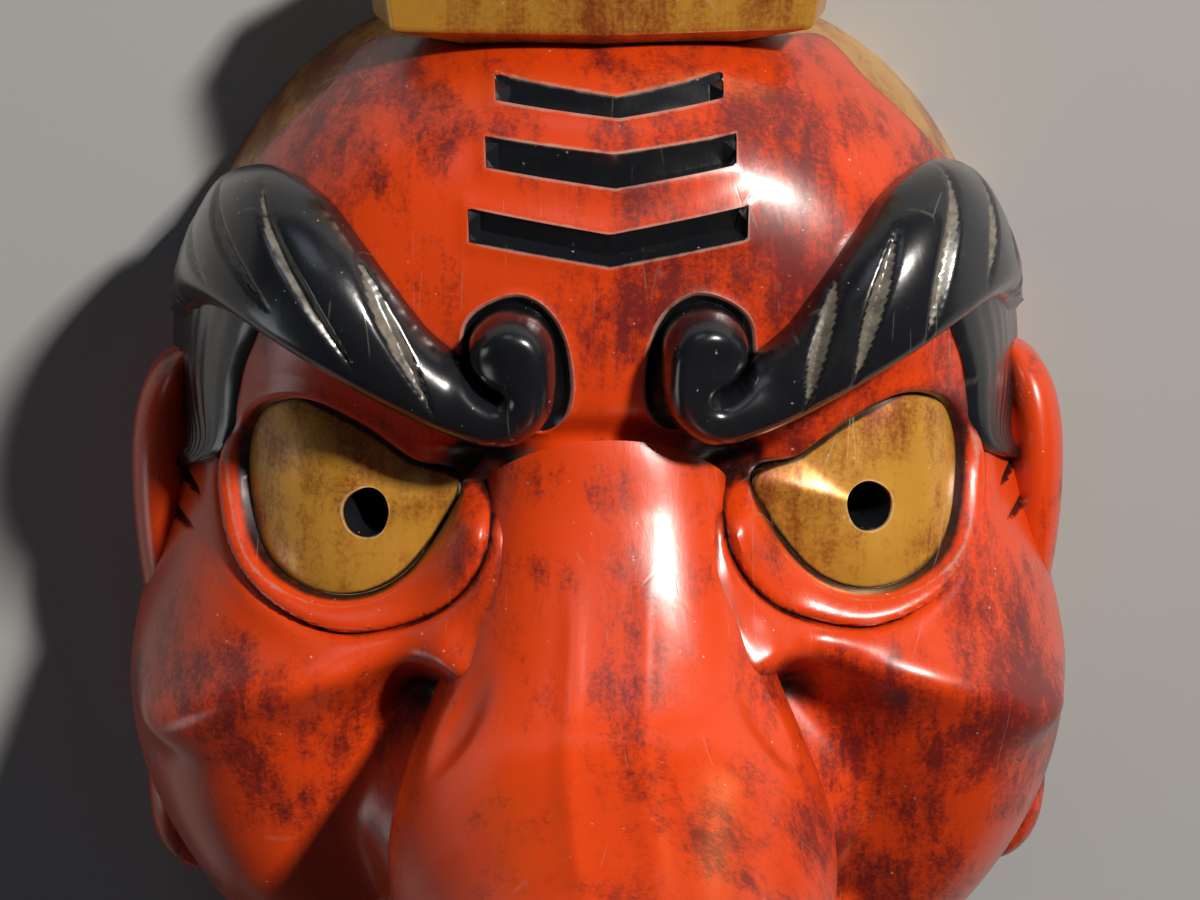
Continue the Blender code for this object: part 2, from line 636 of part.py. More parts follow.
def build_groove(middle_y, end_y, half_length):
    """The cutter of one V groove in the forehead, bent at its middle."""
    vertices = []
    stations = ((-half_length, end_y), (-half_length * 0.5, 0.5 * (middle_y + end_y)), (0.0, middle_y),
                (half_length * 0.5, 0.5 * (middle_y + end_y)), (half_length, end_y))
    for x, y in stations:
        base = face_point(np.array(x), np.array(y))
        spread = 0.5 * GROOVE_WIDTH * (1.0 + GROOVE_PROUD / GROOVE_DEPTH)
        vertices.append((x, base[1] + spread, base[2] + GROOVE_PROUD))
        vertices.append((x, base[1] - spread, base[2] + GROOVE_PROUD))
        vertices.append((x, base[1] - 0.1 * GROOVE_WIDTH, base[2] - GROOVE_DEPTH))
    faces = loft_faces(len(stations), 3)
    last = 3 * (len(stations) - 1)
    faces += [(0, 1, 2), (last + 2, last + 1, last)]
    return new_object("groove_cutter", vertices, faces)


def build_bore(side):
    """The cutter of the round hole through one eye."""
    bpy.ops.mesh.primitive_cylinder_add(vertices=24, radius=0.5 * PUPIL_BORE, depth=FACE_DEPTH,
                                        location=(side * PUPIL_AT[0] + PUPIL_SHIFT, PUPIL_AT[1], FACE_DEPTH))
    bore = bpy.context.object
    bore.name = "bore_cutter"
    return bore


def build_nostril(side):
    """The cutter of one blind nostril under the nose."""
    x, y, z = NOSTRIL_AT
    return build_ball("nostril_cutter", (side * x, y, z), NOSTRIL_RADIUS)


def build_rim_cut():
    """The cutter that trims the back rim flat."""
    size = 4 * FACE_HALF_WIDTH
    bpy.ops.mesh.primitive_cube_add(size=size, location=(0.0, 0.0, -0.5 * size))
    slab = bpy.context.object
    slab.name = "rim_cutter"
    return slab


def thin_out(shape, share):
    """Let flat stretches of a shape take fewer triangles."""
    step = shape.modifiers.new("thin_out", "DECIMATE")
    step.ratio = share
    return shape


def combine(target, tools, operation):
    """Join shapes to the mask, or cut them away, all in one step."""
    group = bpy.data.collections.new(operation.lower() + "_shapes")
    bpy.context.scene.collection.children.link(group)
    for tool in tools:
        for home in tool.users_collection:
            home.objects.unlink(tool)
        group.objects.link(tool)
        tool.hide_render = True
        tool.display_type = "WIRE"
    step = target.modifiers.new(group.name, "BOOLEAN")
    step.operation = operation
    step.solver = "EXACT"
    step.operand_type = "COLLECTION"
    step.collection = group


def build_mask():
    """All shapes joined into the one carved piece."""
    for old in list(bpy.data.objects):
        bpy.data.objects.remove(old, do_unlink=True)
    mask = thin_out(build_face(lacquer("red_lacquer", (0.55, 0.055, 0.02), 0.25)), FACE_SHARE)
    shapes = [thin_out(build_nose(), NOSE_SHARE), build_cap(), build_lip(1.0), build_lip(-1.0)]
    for side in (1.0, -1.0):
        shapes += [thin_out(build_eye(side), EYE_SHARE), thin_out(build_brow(side), BROW_SHARE)]
        shapes += [build_lock(side), build_ear(side), build_curl(side)]
    combine(mask, shapes, "UNION")
    cutters = [build_groove(*groove) for groove in GROOVES]
    cutters += [thin_out(build_hollow(), HOLLOW_SHARE), build_rim_cut()]
    for side in (1.0, -1.0):
        cutters += [build_bore(side), build_nostril(side)]
    combine(mask, cutters, "DIFFERENCE")
    return mask


build_mask()
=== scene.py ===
"""Looks of a carved and lacquered long-nosed mask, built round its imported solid.

Metres, +Z out of the face, +Y towards the crown, +X to the right as the face is seen from the front.
The face is a dome whose surface is found by a direction and a share of the way to its rim.
"""
import logging
import math
from dataclasses import dataclass, field
from enum import Enum

import bpy
import numpy as np
from mathutils import Matrix, Vector
from mathutils.bvhtree import BVHTree
from mathutils.geometry import delaunay_2d_cdt
from mathutils.kdtree import KDTree


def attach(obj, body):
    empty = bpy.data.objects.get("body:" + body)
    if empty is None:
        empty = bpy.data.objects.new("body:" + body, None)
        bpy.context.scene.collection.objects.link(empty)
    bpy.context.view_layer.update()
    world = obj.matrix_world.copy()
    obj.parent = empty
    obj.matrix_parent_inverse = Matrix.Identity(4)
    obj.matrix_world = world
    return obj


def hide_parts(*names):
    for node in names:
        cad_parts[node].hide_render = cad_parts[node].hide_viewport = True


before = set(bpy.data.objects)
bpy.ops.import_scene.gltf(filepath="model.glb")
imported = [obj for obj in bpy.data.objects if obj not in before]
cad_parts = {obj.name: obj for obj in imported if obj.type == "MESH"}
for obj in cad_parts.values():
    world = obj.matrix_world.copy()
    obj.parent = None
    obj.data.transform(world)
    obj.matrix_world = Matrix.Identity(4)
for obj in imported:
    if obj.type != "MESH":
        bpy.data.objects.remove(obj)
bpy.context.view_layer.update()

LOG = logging.getLogger("mask")
MM = 0.001
BODY = "root"
CAD_NODE = "mask"
RIM_SLACK = 1e-7
ROW_RISE = 0.866
Points = np.ndarray


class Side(Enum):
    """The two sides of the face, as it is seen from the front."""

    RIGHT = 1
    LEFT = -1


class Slot(Enum):
    """The finishes that pieces are listed under, as the record names them."""

    RED = "red_lacquer"
    BLACK = "black_lacquer"
    GOLD = "gold_lacquer"


def mm(*pairs: tuple[float, ...]) -> Points:
    """Points given in millimetres, in metres."""
    return np.array(pairs, float) * MM


def smooth_step(low: float, high: float, value: Points) -> Points:
    """Rise smoothly from 0 at low to 1 at high."""
    share = np.clip((value - low) / (high - low), 0.0, 1.0)
    return share * share * (3.0 - 2.0 * share)


def bell(x: Points, y: Points, centre: tuple[float, float], reach: tuple[float, float]) -> Points:
    """Round hill of height 1 at centre, falling away over reach."""
    return np.exp(-((x - centre[0]) / reach[0]) ** 2 - ((y - centre[1]) / reach[1]) ** 2)


def smooth_curve(points: Points, steps: int, closed: bool = False) -> Points:
    """Points along a smooth curve through the given points.

    Args:
        points: The points that the curve passes through.
        steps: How many equal steps of the curve's own measure it takes.
        closed: Whether the curve comes back to its first point.

    Returns:
        One row for each point of the curve.
    """
    knots = np.array(points, float)
    if closed:
        ring = np.vstack([knots[-1:], knots, knots[:2]])
        spans = len(knots)
    else:
        ring = np.vstack([2 * knots[:1] - knots[1:2], knots, 2 * knots[-1:] - knots[-2:-1]])
        spans = len(knots) - 1
    place = np.arange(steps + (0 if closed else 1)) * spans / steps
    span = np.minimum(place.astype(int), spans - 1)
    t = (place - span)[:, None]
    a, b, c, d = (ring[span + shift] for shift in range(4))
    return 0.5 * (2 * b + (c - a) * t + (2 * a - 5 * b + 4 * c - d) * t ** 2
                  + (3 * b - a - 3 * c + d) * t ** 3)


def even_points(curve: Points, gap: float, closed: bool = False) -> Points:
    """The same curve with its points an even gap apart.

    Args:
        curve: The curve's own points.
        gap: The distance wanted between two points.
        closed: Whether it comes back to its first point.

    Returns:
        The new points.
    """
    run = np.vstack([curve, curve[:1]]) if closed else np.asarray(curve, float)
    walk = np.concatenate([[0.0], np.cumsum(np.linalg.norm(np.diff(run, axis=0), axis=1))])
    count = max(int(round(walk[-1] / gap)), 2)
    stops = np.linspace(0.0, walk[-1], count + 1)
    points = np.stack([np.interp(stops, walk, run[:, axis]) for axis in range(run.shape[1])], axis=1)
    return points[:-1] if closed else points


def line_distance(x: Points, y: Points, line: Points) -> Points:
    """Distance in plan from each place to a polyline.

    Args:
        x: Places in plan, across the face.
        y: Places in plan, towards the crown.
        line: The points of the polyline.

    Returns:
        A distance for each place.
    """
    best = np.full(np.shape(x), 1e9)
    for (ax, ay), (bx, by) in zip(line[:-1], line[1:]):
        run = max((bx - ax) ** 2 + (by - ay) ** 2, 1e-18)
        share = np.clip(((x - ax) * (bx - ax) + (y - ay) * (by - ay)) / run, 0.0, 1.0)
        best = np.minimum(best, np.hypot(x - ax - share * (bx - ax), y - ay - share * (by - ay)))
    return best


def inside_loop(x: Points, y: Points, loop: Points) -> Points:
    """Whether each place lies inside a closed outline.

    Args:
        x: Places in plan, across the face.
        y: Places in plan, towards the crown.
        loop: The points of the outline.

    Returns:
        True where a place is inside.
    """
    inside = np.zeros(np.shape(x), bool)
    for (ax, ay), (bx, by) in zip(loop, np.roll(loop, -1, axis=0)):
        if ay != by:
            inside ^= ((ay > y) != (by > y)) & (x < (bx - ax) * (y - ay) / (by - ay) + ax)
    return inside


def loop_distance(x: Points, y: Points, loop: Points) -> Points:
    """Distance in plan to a closed outline, negative inside it."""
    distance = line_distance(x, y, np.vstack([loop, loop[:1]]))
    return np.where(inside_loop(x, y, loop), -distance, distance)


def outset(loop: Points, distance: float) -> Points:
    """A closed outline moved outwards by a distance.

    Args:
        loop: The points of the outline.
        distance: How far it moves, or inwards if negative.

    Returns:
        The moved outline, point for point.
    """
    run = np.roll(loop, -1, axis=0) - np.roll(loop, 1, axis=0)
    away = np.stack([run[:, 1], -run[:, 0]], axis=1)
    away /= np.maximum(np.linalg.norm(away, axis=1, keepdims=True), 1e-12)
    area = np.sum(loop[:, 0] * np.roll(loop[:, 1], -1) - np.roll(loop[:, 0], -1) * loop[:, 1])
    return loop + away * (1.0 if area > 0 else -1.0) * distance


@dataclass
class Dome:
    """The plain dome of the face, as deep as it is said and with its own curve each way."""

    cheek_line_y: float = -0.014
    half_width: float = 0.0995
    up: float = 0.1245
    down: float = 0.128
    depth: float = 0.092
    outline_power_up: float = 2.6
    outline_power_down: float = 3.0
    side_power: float = 4.0
    crown_power: float = 9.0
    chin_power: float = 5.0
    depth_power: float = 2.2
    turns: int = 721
    stops: int = 500

    def __post_init__(self) -> None:
        """Measure the walk from the middle to the rim in every direction."""
        self.angles = np.linspace(-math.pi, math.pi, self.turns)
        self.steps = np.linspace(0.0, 1.0, self.stops)
        radius, power = self.reach(self.angles[:, None])
        out = 1.0 - (1.0 - self.steps[None, :]) ** 3
        height = self.depth * np.maximum(1.0 - out ** power, 0.0) ** (1.0 / self.depth_power)
        leg = np.hypot(np.diff(radius * out, axis=1), np.diff(height, axis=1))
        walk = np.concatenate([np.zeros((self.turns, 1)), np.cumsum(leg, axis=1)], axis=1)
        self.length = walk[:, -1]
        self.share_table = walk / walk[:, -1:]
        self.step_table = np.array([np.interp(self.steps, row, self.steps) for row in self.share_table])

    def reach(self, angle: Points) -> tuple[Points, Points]:
        """Radius of the rim in a direction, and the power of the fall towards it.

        Args:
            angle: Direction from the middle of the face.

        Returns:
            The radius, and the power.
        """
        c, s = np.cos(angle), np.sin(angle)
        across = np.abs(c) / self.half_width
        along = np.where(s >= 0.0, s / self.up, -s / self.down)
        power = np.where(s >= 0.0, self.outline_power_up, self.outline_power_down)
        radius = (across ** power + along ** power) ** (-1.0 / power)
        end_power = np.where(s >= 0.0, self.crown_power, self.chin_power)
        lengthwise = along ** 2 / (across ** 2 + along ** 2)
        return radius, self.side_power + (end_power - self.side_power) * lengthwise

    def look_up(self, table: Points, angle: Points, step: Points) -> Points:
        """Read a table of directions and steps between its entries.

        Args:
            table: Values by direction and by step.
            angle: Direction from the middle of the face.
            step: Place along the way, 0 to 1.

        Returns:
            The values between the entries.
        """
        row = (np.asarray(angle) + math.pi) / (2 * math.pi) * (self.turns - 1)
        column = np.clip(step, 0.0, 1.0) * (self.stops - 1)
        r0 = np.clip(np.floor(row).astype(int), 0, self.turns - 2)
        c0 = np.clip(np.floor(column).astype(int), 0, self.stops - 2)
        fr, fc = row - r0, column - c0
        low = table[r0, c0] * (1 - fc) + table[r0, c0 + 1] * fc
        high = table[r0 + 1, c0] * (1 - fc) + table[r0 + 1, c0 + 1] * fc
        return low * (1 - fr) + high * fr

    def place(self, angle: Points, share: Points) -> Points:
        """The point of the dome in a direction, a share of the way to its rim.

        Args:
            angle: Direction from the middle of the face.
            share: Share of the way to the rim.

        Returns:
            A point for each direction and share.
        """
        angle = (np.asarray(angle) + math.pi) % (2 * math.pi) - math.pi
        out = 1.0 - (1.0 - self.look_up(self.step_table, angle, share)) ** 3
        radius, power = self.reach(angle)
        height = self.depth * np.maximum(1.0 - out ** power, 0.0) ** (1.0 / self.depth_power)
        return np.stack([radius * out * np.cos(angle), self.cheek_line_y + radius * out * np.sin(angle),
                         height], axis=-1)

    def normal(self, angle: Points, share: Points) -> Points:
        """The direction out of the dome.

        Args:
            angle: Direction from the middle of the face.
            share: Share of the way to the rim.

        Returns:
            A vector of length 1 for each.
        """
        small = 2e-3
        share = np.clip(share, 0.02, 1.0 - small)
        outward = self.place(angle, share + small) - self.place(angle, share - small)
        around = self.place(angle + small, share) - self.place(angle - small, share)
        normal = np.cross(outward, around)
        return normal / np.linalg.norm(normal, axis=-1, keepdims=True)

    def find(self, x: Points, y: Points) -> tuple[Points, Points]:
        """Direction and share of the way to the rim of a place in plan.

        Args:
            x: Places in plan, across the face.
            y: Places in plan, towards the crown.

        Returns:
            The directions, and the shares.
        """
        angle = np.arctan2(y - self.cheek_line_y, x)
        radius, _ = self.reach(angle)
        out = np.minimum(np.hypot(x, y - self.cheek_line_y) / radius, 1.0)
        return angle, self.look_up(self.share_table, angle, 1.0 - (1.0 - out) ** (1.0 / 3.0))


@dataclass
class Form:
    """The carved face: the dome with its swellings, hollows, lids, grooves and channels."""

    dome: Dome = field(default_factory=Dome)
    rim_fade: float = 0.035
    wall: float = 0.009
    cheek_at: tuple = (0.082, -0.052)
    cheek_reach: tuple = (0.038, 0.044)
    cheek_rise: float = 0.0150
    socket_at: tuple = (0.058, 0.015)
    socket_reach: tuple = (0.036, 0.027)
    socket_depth: float = 0.0125
    fold_depth: float = 0.0140
    fold_width: float = 0.012
    bone_rise: float = 0.0065
    bone_width: float = 0.007
    flank_rise: float = 0.0075
    root_hollow_at: tuple = (0.0265, 0.0195)
    root_hollow_reach: tuple = (0.0100, 0.0066)
    root_hollow_depth: float = 0.0115
    root_top_at: tuple = (0.0, 0.0265)
    root_top_reach: tuple = (0.020, 0.0045)
    root_top_depth: float = 0.0035
    flank_width: float = 0.008
    muzzle_at: tuple = (0.0, -0.1)
    muzzle_reach: tuple = (0.040, 0.016)
    muzzle_rise: float = 0.004
    chin_at: tuple = (0.0, -0.127)
    chin_reach: tuple = (0.026, 0.011)
    chin_rise: float = 0.008
    eye_sink: float = 0.0050
    channel_depth: float = 0.0020
    channel_lip: float = 0.0004
    cut_depth: float = 0.0011
    groove_depth: float = 0.0040
    groove_lip: float = 0.0005
    groove_lip_width: float = 0.0022
    groove_end_inset_mm: float = 2.0

    def __post_init__(self) -> None:
        """Lay out the lines of the carving."""
        self.fold = smooth_curve(mm((43, -34), (54, -48), (60, -66), (56, -88)), 24)
        self.bone = smooth_curve(mm((36, -19), (52, -23), (70, -30), (83, -41)), 24)
        self.flank = smooth_curve(mm((27, 6), (29, -5), (32, -18)), 16)
        self.eye = even_points(smooth_curve(mm((31.5, 13.8), (43, 19.5), (55.5, 27.5), (70, 32.5), (82, 26.5),
                                               (85, 12), (77, -4), (60, -10.5), (44, -5)), 540, closed=True),
                               0.8 * MM, closed=True)
        self.crease = even_points(smooth_curve(mm((24.3, 15.0), (26.0, 3.0), (31.8, -6.5), (40.2, -12.8),
                                                  (50.5, -16.2), (61.0, -16.3), (71.5, -12.6), (80.0, -6.5),
                                                  (85.6, 1.0), (88.4, 9.5), (88.0, 17.5)), 200), 0.8 * MM)
        self.channel = even_points(smooth_curve(mm((31.2, 45.6), (30.0, 52.6), (25.8, 56.8), (19.5, 58.9),
                                                   (14.4, 57.0), (10.6, 52.4), (8.5, 46.1), (7.8, 38.0),
                                                   (9.4, 31.6), (13.4, 28.0), (19.0, 29.0)), 120), 0.7 * MM)
        self.channel = np.vstack([self.channel, mm((26, 33), (33, 38), (33, 43))])
        self.grooves = tuple(self.groove_outline(*sizes) for sizes in (
            (97.4, 100.6, 93.9, 96.6, 25.2, -23.0, 2.6), (87.6, 90.6, 81.1, 85.0, 27.2, -25.2, 1.6),
            (71.9, 77.2, 65.0, 70.3, 29.4, -29.0, 0.4)))
        self.cuts = tuple(even_points(self.leaf(*ends), 0.8 * MM, closed=True) for ends in (
            ((90.6, 2.2), (97.4, 4.6), 1.5), ((89.9, -4.3), (99.2, -5.2), 1.6)))
        hairline = mm((0, 106.0), (22, 105.4), (38, 103.6), (50.5, 100.6), (59.5, 93.2), (68.5, 85.0),
                      (76.5, 76.0), (84.0, 66.5), (89.5, 56.5))
        self.hairline = even_points(smooth_curve(hairline, 120), 1.2 * MM)

    @staticmethod
    def groove_outline(top_y: float, top_end_y: float, low_y: float, low_end_y: float, right: float,
                       left: float, middle: float) -> tuple[Points, Points]:
        """Outline and valley of one bent groove, in metres from millimetres.

        Args:
            top_y: Upper edge in the middle.
            top_end_y: Upper edge at the ends.
            low_y: Lower edge in the middle.
            low_end_y: Lower edge at the ends.
            right: Where the right end is.
            left: Where the left end is.
            middle: Where the bend is.

        Returns:
            The closed outline, and the line of the valley between its two ends.
        """
        loop = mm((left, low_end_y), (middle, low_y), (right, low_end_y), (right + 0.2, top_end_y),
                  (middle, top_y), (left - 0.2, top_end_y))
        inset = Form.groove_end_inset_mm
        end_y = 0.35 * top_end_y + 0.65 * low_end_y - 0.1
        valley = mm((left + inset, end_y), (middle, 0.25 * top_y + 0.75 * low_y), (right - inset, end_y))
        return loop, valley

    @staticmethod
    def leaf(start: tuple, end: tuple, width: float) -> Points:
        """Outline of a small pointed cut, in metres from millimetres.

        Args:
            start: One tip.
            end: The other tip.
            width: Half its greatest width.

        Returns:
            The closed outline.
        """
        a, b = np.array(start), np.array(end)
        along = b - a
        square = np.array([-along[1], along[0]]) / np.linalg.norm(along)
        share = np.linspace(0.0, 1.0, 12)
        bulge = width * np.sin(math.pi * share) ** 0.8
        upper = a + along * share[:, None] + square * bulge[:, None]
        lower = a + along * share[:, None] - square * bulge[:, None]
        return np.vstack([upper, lower[-2:0:-1]]) * MM

    def broad(self, x: Points, y: Points) -> Points:
        """The large swellings and hollows, which the inside follows too.

        Args:
            x: Places in plan, across the face.
            y: Places in plan, towards the crown.

        Returns:
            The height over the dome.
        """
        ax = np.abs(x)
        rise = self.cheek_rise * bell(ax, y, self.cheek_at, self.cheek_reach)
        rise = rise - self.socket_depth * bell(ax, y, self.socket_at, self.socket_reach)
        return rise - self.fold_depth * np.exp(-(line_distance(ax, y, self.fold) / self.fold_width) ** 2)

    def lids(self, ax: Points, y: Points) -> Points:
        """Rise of the lids round the eye, with the crease under them and the bed of the eye.

        Args:
            ax: Places in plan, away from the middle line.
            y: Places in plan, towards the crown.

        Returns:
            The height over the broad face.
        """
        eye = loop_distance(ax, y, self.eye)
        crease = line_distance(ax, y, self.crease)
        loop = np.vstack([self.crease, mm((76, 45), (30, 30))])
        band = inside_loop(ax, y, loop)
        share = np.where(band, eye / np.maximum(eye + crease, 1e-9), 1.0)
        stops = [0.0, 0.08, 0.25, 0.5, 0.74, 0.9, 1.0]
        rises = np.array([-0.6, 0.7, 1.9, 2.4, 1.9, 0.5, -1.6]) * MM
        low = np.interp(share, stops, rises)
        outer = np.interp(crease, np.array([0.0, 0.5, 1.2, 2.6, 5.0]) * MM,
                          np.array([-1.6, -0.4, 0.3, 0.35, 0.0]) * MM)
        low = np.where(band, low, outer)
        high = np.interp(eye, np.array([0.0, 0.5, 1.6, 5.0]) * MM, np.array([-0.6, 0.35, 0.7, 0.0]) * MM)
        under = 1.0 - smooth_step(9.0 * MM, 17.0 * MM, y)
        corner = smooth_step(80.0 * MM, 86.0 * MM, ax) * (1.0 - smooth_step(12 * MM, 24 * MM, y))
        under = np.maximum(under, corner)
        rise = low * under + high * (1.0 - under)
        bed = np.interp(eye, np.array([-1.4, -0.5, 0.0]) * MM,
                        [-self.eye_sink, -self.eye_sink + 0.001, -0.6 * MM])
        return np.where(eye < 0.0, bed, rise)

    def fine(self, x: Points, y: Points) -> Points:
        """The carving of the outside alone.

        Args:
            x: Places in plan, across the face.
            y: Places in plan, towards the crown.

        Returns:
            The height over the broad face.
        """
        ax = np.abs(x)
        rise = self.bone_rise * np.exp(-(line_distance(ax, y, self.bone) / self.bone_width) ** 2)
        rise = rise + self.flank_rise * np.exp(-(line_distance(ax, y, self.flank) / self.flank_width) ** 2)
        rise = rise + self.muzzle_rise * bell(ax, y, self.muzzle_at, self.muzzle_reach)
        rise = rise + self.chin_rise * bell(ax, y, self.chin_at, self.chin_reach)
        rise = rise + self.lids(ax, y)
        rise = rise - self.root_hollow_depth * bell(ax, y, self.root_hollow_at, self.root_hollow_reach)
        rise = rise - self.root_top_depth * bell(x, y, self.root_top_at, self.root_top_reach)
        channel = loop_distance(ax, y, self.channel)
        sink = np.interp(channel, np.array([-2.6, -1.2, 0.0, 0.5, 1.6]) * MM,
                         [-self.channel_depth, -0.8 * self.channel_depth, 0.0, self.channel_lip, 0.0])
        rise = rise + sink
        for cut in self.cuts:
            edge = loop_distance(ax, y, cut)
            rise = rise - np.interp(edge, np.array([-1.5, 0.0]) * MM, [self.cut_depth, 0.0])
        for loop, valley in self.grooves:
            edge = loop_distance(x, y, loop)
            depth = self.groove_depth * edge / np.minimum(edge - line_distance(x, y, valley), -1e-9)
            lip = self.groove_lip * np.exp(-(edge / self.groove_lip_width) ** 2)
            rise = rise + np.where(edge < -1e-6, -depth, lip)
        return rise

    def point(self, angle: Points, share: Points, lift: Points, carved: bool = False) -> Points:
        """A point over the face.

        Args:
            angle: Direction from the middle of the face.
            share: Share of the way to the rim.
            lift: Height above the broad face, square to the dome.
            carved: Whether the fine carving counts too.

        Returns:
            The points, with one more axis than angle.
        """
        base = self.dome.place(angle, share)
        rise = self.broad(base[..., 0], base[..., 1])
        if carved:
            rise = rise + self.fine(base[..., 0], base[..., 1])
        rise = rise * smooth_step(0.0, self.rim_fade, base[..., 2]) + lift
        return base + self.dome.normal(angle, share) * np.asarray(rise)[..., None]

    def over(self, plan: Points, lift: Points) -> Points:
        """A point over the broad face at a place in plan."""
        angle, share = self.dome.find(plan[..., 0], plan[..., 1])
        return self.point(angle, share, lift)


FORM = Form()


class Group:
    """A shader node group with named sockets, filled step by step."""

    def __init__(self, name: str, inputs: dict[str, float], outputs: tuple[str, ...]) -> None:
        """Make the group and its sockets.

        Args:
            name: The group's name.
            inputs: Each input's name with its first value.
            outputs: The names of what it puts out.
        """
        self.tree = bpy.data.node_groups.new(name, "ShaderNodeTree")
        for title, value in inputs.items():
            socket = self.tree.interface.new_socket(title, in_out="INPUT", socket_type="NodeSocketFloat")
            socket.default_value = value
        for title in outputs:
            self.tree.interface.new_socket(title, in_out="OUTPUT", socket_type="NodeSocketFloat")
        self.source = self.tree.nodes.new("NodeGroupInput")
        self.sink = self.tree.nodes.new("NodeGroupOutput")


class Wiring:
    """Short ways to place and join the nodes of one tree."""

    def __init__(self, tree: bpy.types.NodeTree) -> None:
        """Keep the tree to work in."""
        self.tree = tree

    def node(self, kind: str, **values: object) -> bpy.types.Node:
        """Place a node and set its properties.

        Args:
            kind: The node's type.
            **values: Its properties by name.

        Returns:
            The new node.
        """
        made = self.tree.nodes.new(kind)
        for name, value in values.items():
            setattr(made, name, value)
        return made

    def join(self, value: object, socket: bpy.types.NodeSocket) -> None:
        """Feed a socket from another one, or set it to a plain value.

        Args:
            value: A socket, or a plain value.
            socket: What it feeds.
        """
        if isinstance(value, bpy.types.NodeSocket):
            self.tree.links.new(value, socket)
        else:
            socket.default_value = value

    def math(self, operation: str, a: object, b: object = 0.0, clamp: bool = False) -> bpy.types.NodeSocket:
        """A sum of two values.

        Args:
            operation: The node's operation.
            a: The first value or socket.
            b: The second value or socket.
            clamp: Whether the result is held from 0 to 1.

        Returns:
            The result's socket.
        """
        made = self.node("ShaderNodeMath", operation=operation, use_clamp=clamp)
        self.join(a, made.inputs[0])
        self.join(b, made.inputs[1])
        return made.outputs[0]

    def noise(self, where: object, scale: object, detail: float, rough: float = 0.6,
              distortion: float = 0.0) -> bpy.types.NodeSocket:
        """Cloudy noise.

        Args:
            where: The coordinates.
            scale: How fine it is.
            detail: How many layers it has.
            rough: How strong the finer layers are.
            distortion: How much it is stirred.

        Returns:
            The socket of its value.
        """
        made = self.node("ShaderNodeTexNoise")
        self.join(where, made.inputs["Vector"])
        self.join(scale, made.inputs["Scale"])
        made.inputs["Detail"].default_value = detail
        made.inputs["Roughness"].default_value = rough
        made.inputs["Distortion"].default_value = distortion
        return made.outputs["Fac"]

    def ramp(self, value: object, low: object, high: object) -> bpy.types.NodeSocket:
        """Rise smoothly from 0 at low to 1 at high.

        Args:
            value: What is read.
            low: Where the rise starts.
            high: Where it ends.

        Returns:
            The result's socket.
        """
        made = self.node("ShaderNodeMapRange", interpolation_type="SMOOTHSTEP")
        self.join(value, made.inputs["Value"])
        self.join(low, made.inputs["From Min"])
        self.join(high, made.inputs["From Max"])
        return made.outputs["Result"]

    def mix(self, share: object, a: object, b: object) -> bpy.types.NodeSocket:
        """A mix of two colours.

        Args:
            share: How much of the second colour.
            a: The first colour.
            b: The second colour.

        Returns:
            The colour's socket.
        """
        made = self.node("ShaderNodeMix", data_type="RGBA")
        self.join(share, made.inputs[0])
        self.join(a, made.inputs[6])
        self.join(b, made.inputs[7])
        return made.outputs[2]

    def bump(self, height: object, strength: float, distance: float) -> bpy.types.NodeSocket:
        """A normal pressed by a height.

        Args:
            height: The height's socket.
            strength: How strong it is.
            distance: How deep a height of 1 is.

        Returns:
            The normal's socket.
        """
        made = self.node("ShaderNodeBump")
        made.inputs["Strength"].default_value = strength
        made.inputs["Distance"].default_value = distance
        self.join(height, made.inputs["Height"])
        return made.outputs["Normal"]

    def here(self, stretch: tuple[float, float, float] = (1.0, 1.0, 1.0),
             turn: tuple[float, float, float] = (0.0, 0.0, 0.0)) -> bpy.types.NodeSocket:
        """Object coordinates, turned and stretched.

        Args:
            stretch: Scale along each axis.
            turn: Turn about each axis, in radians.

        Returns:
            The coordinates' socket.
        """
        place = self.node("ShaderNodeTexCoord")
        mapping = self.node("ShaderNodeMapping")
        mapping.inputs["Scale"].default_value = stretch
        mapping.inputs["Rotation"].default_value = turn
        self.join(place.outputs["Object"], mapping.inputs["Vector"])
        return mapping.outputs["Vector"]


def carved_marks() -> bpy.types.NodeTree:
    """Rubbed edges with painted highlights, and painted shade in the hollows, broken up by noise.

    Returns:
        The node group.
    """
    group = Group("carved_marks", {"Edge Reach": 0.45, "Hollow Reach": 0.3}, ("Worn", "Hollow"))
    wire = Wiring(group.tree)
    where = wire.here()
    breakup = wire.noise(where, 240.0, 6.0, 0.7)
    convex = wire.node("ShaderNodeAttribute", attribute_name="convex").outputs["Fac"]
    painted_shade = wire.node("ShaderNodeAttribute", attribute_name="painted_shade").outputs["Fac"]
    worn = wire.math("SUBTRACT", convex, wire.math("MULTIPLY", breakup, 0.75))
    worn = wire.ramp(wire.math("ADD", worn, group.source.outputs["Edge Reach"]), 0.35, 0.75)
    # Hollow is painted shade in hollows, creases and where pieces meet.
    hollow = wire.math("SUBTRACT", painted_shade, wire.math("MULTIPLY", breakup, 0.5))
    hollow = wire.ramp(wire.math("ADD", hollow, group.source.outputs["Hollow Reach"]), 0.25, 0.85)
    wire.join(worn, group.sink.inputs["Worn"])
    wire.join(hollow, group.sink.inputs["Hollow"])
    return group.tree


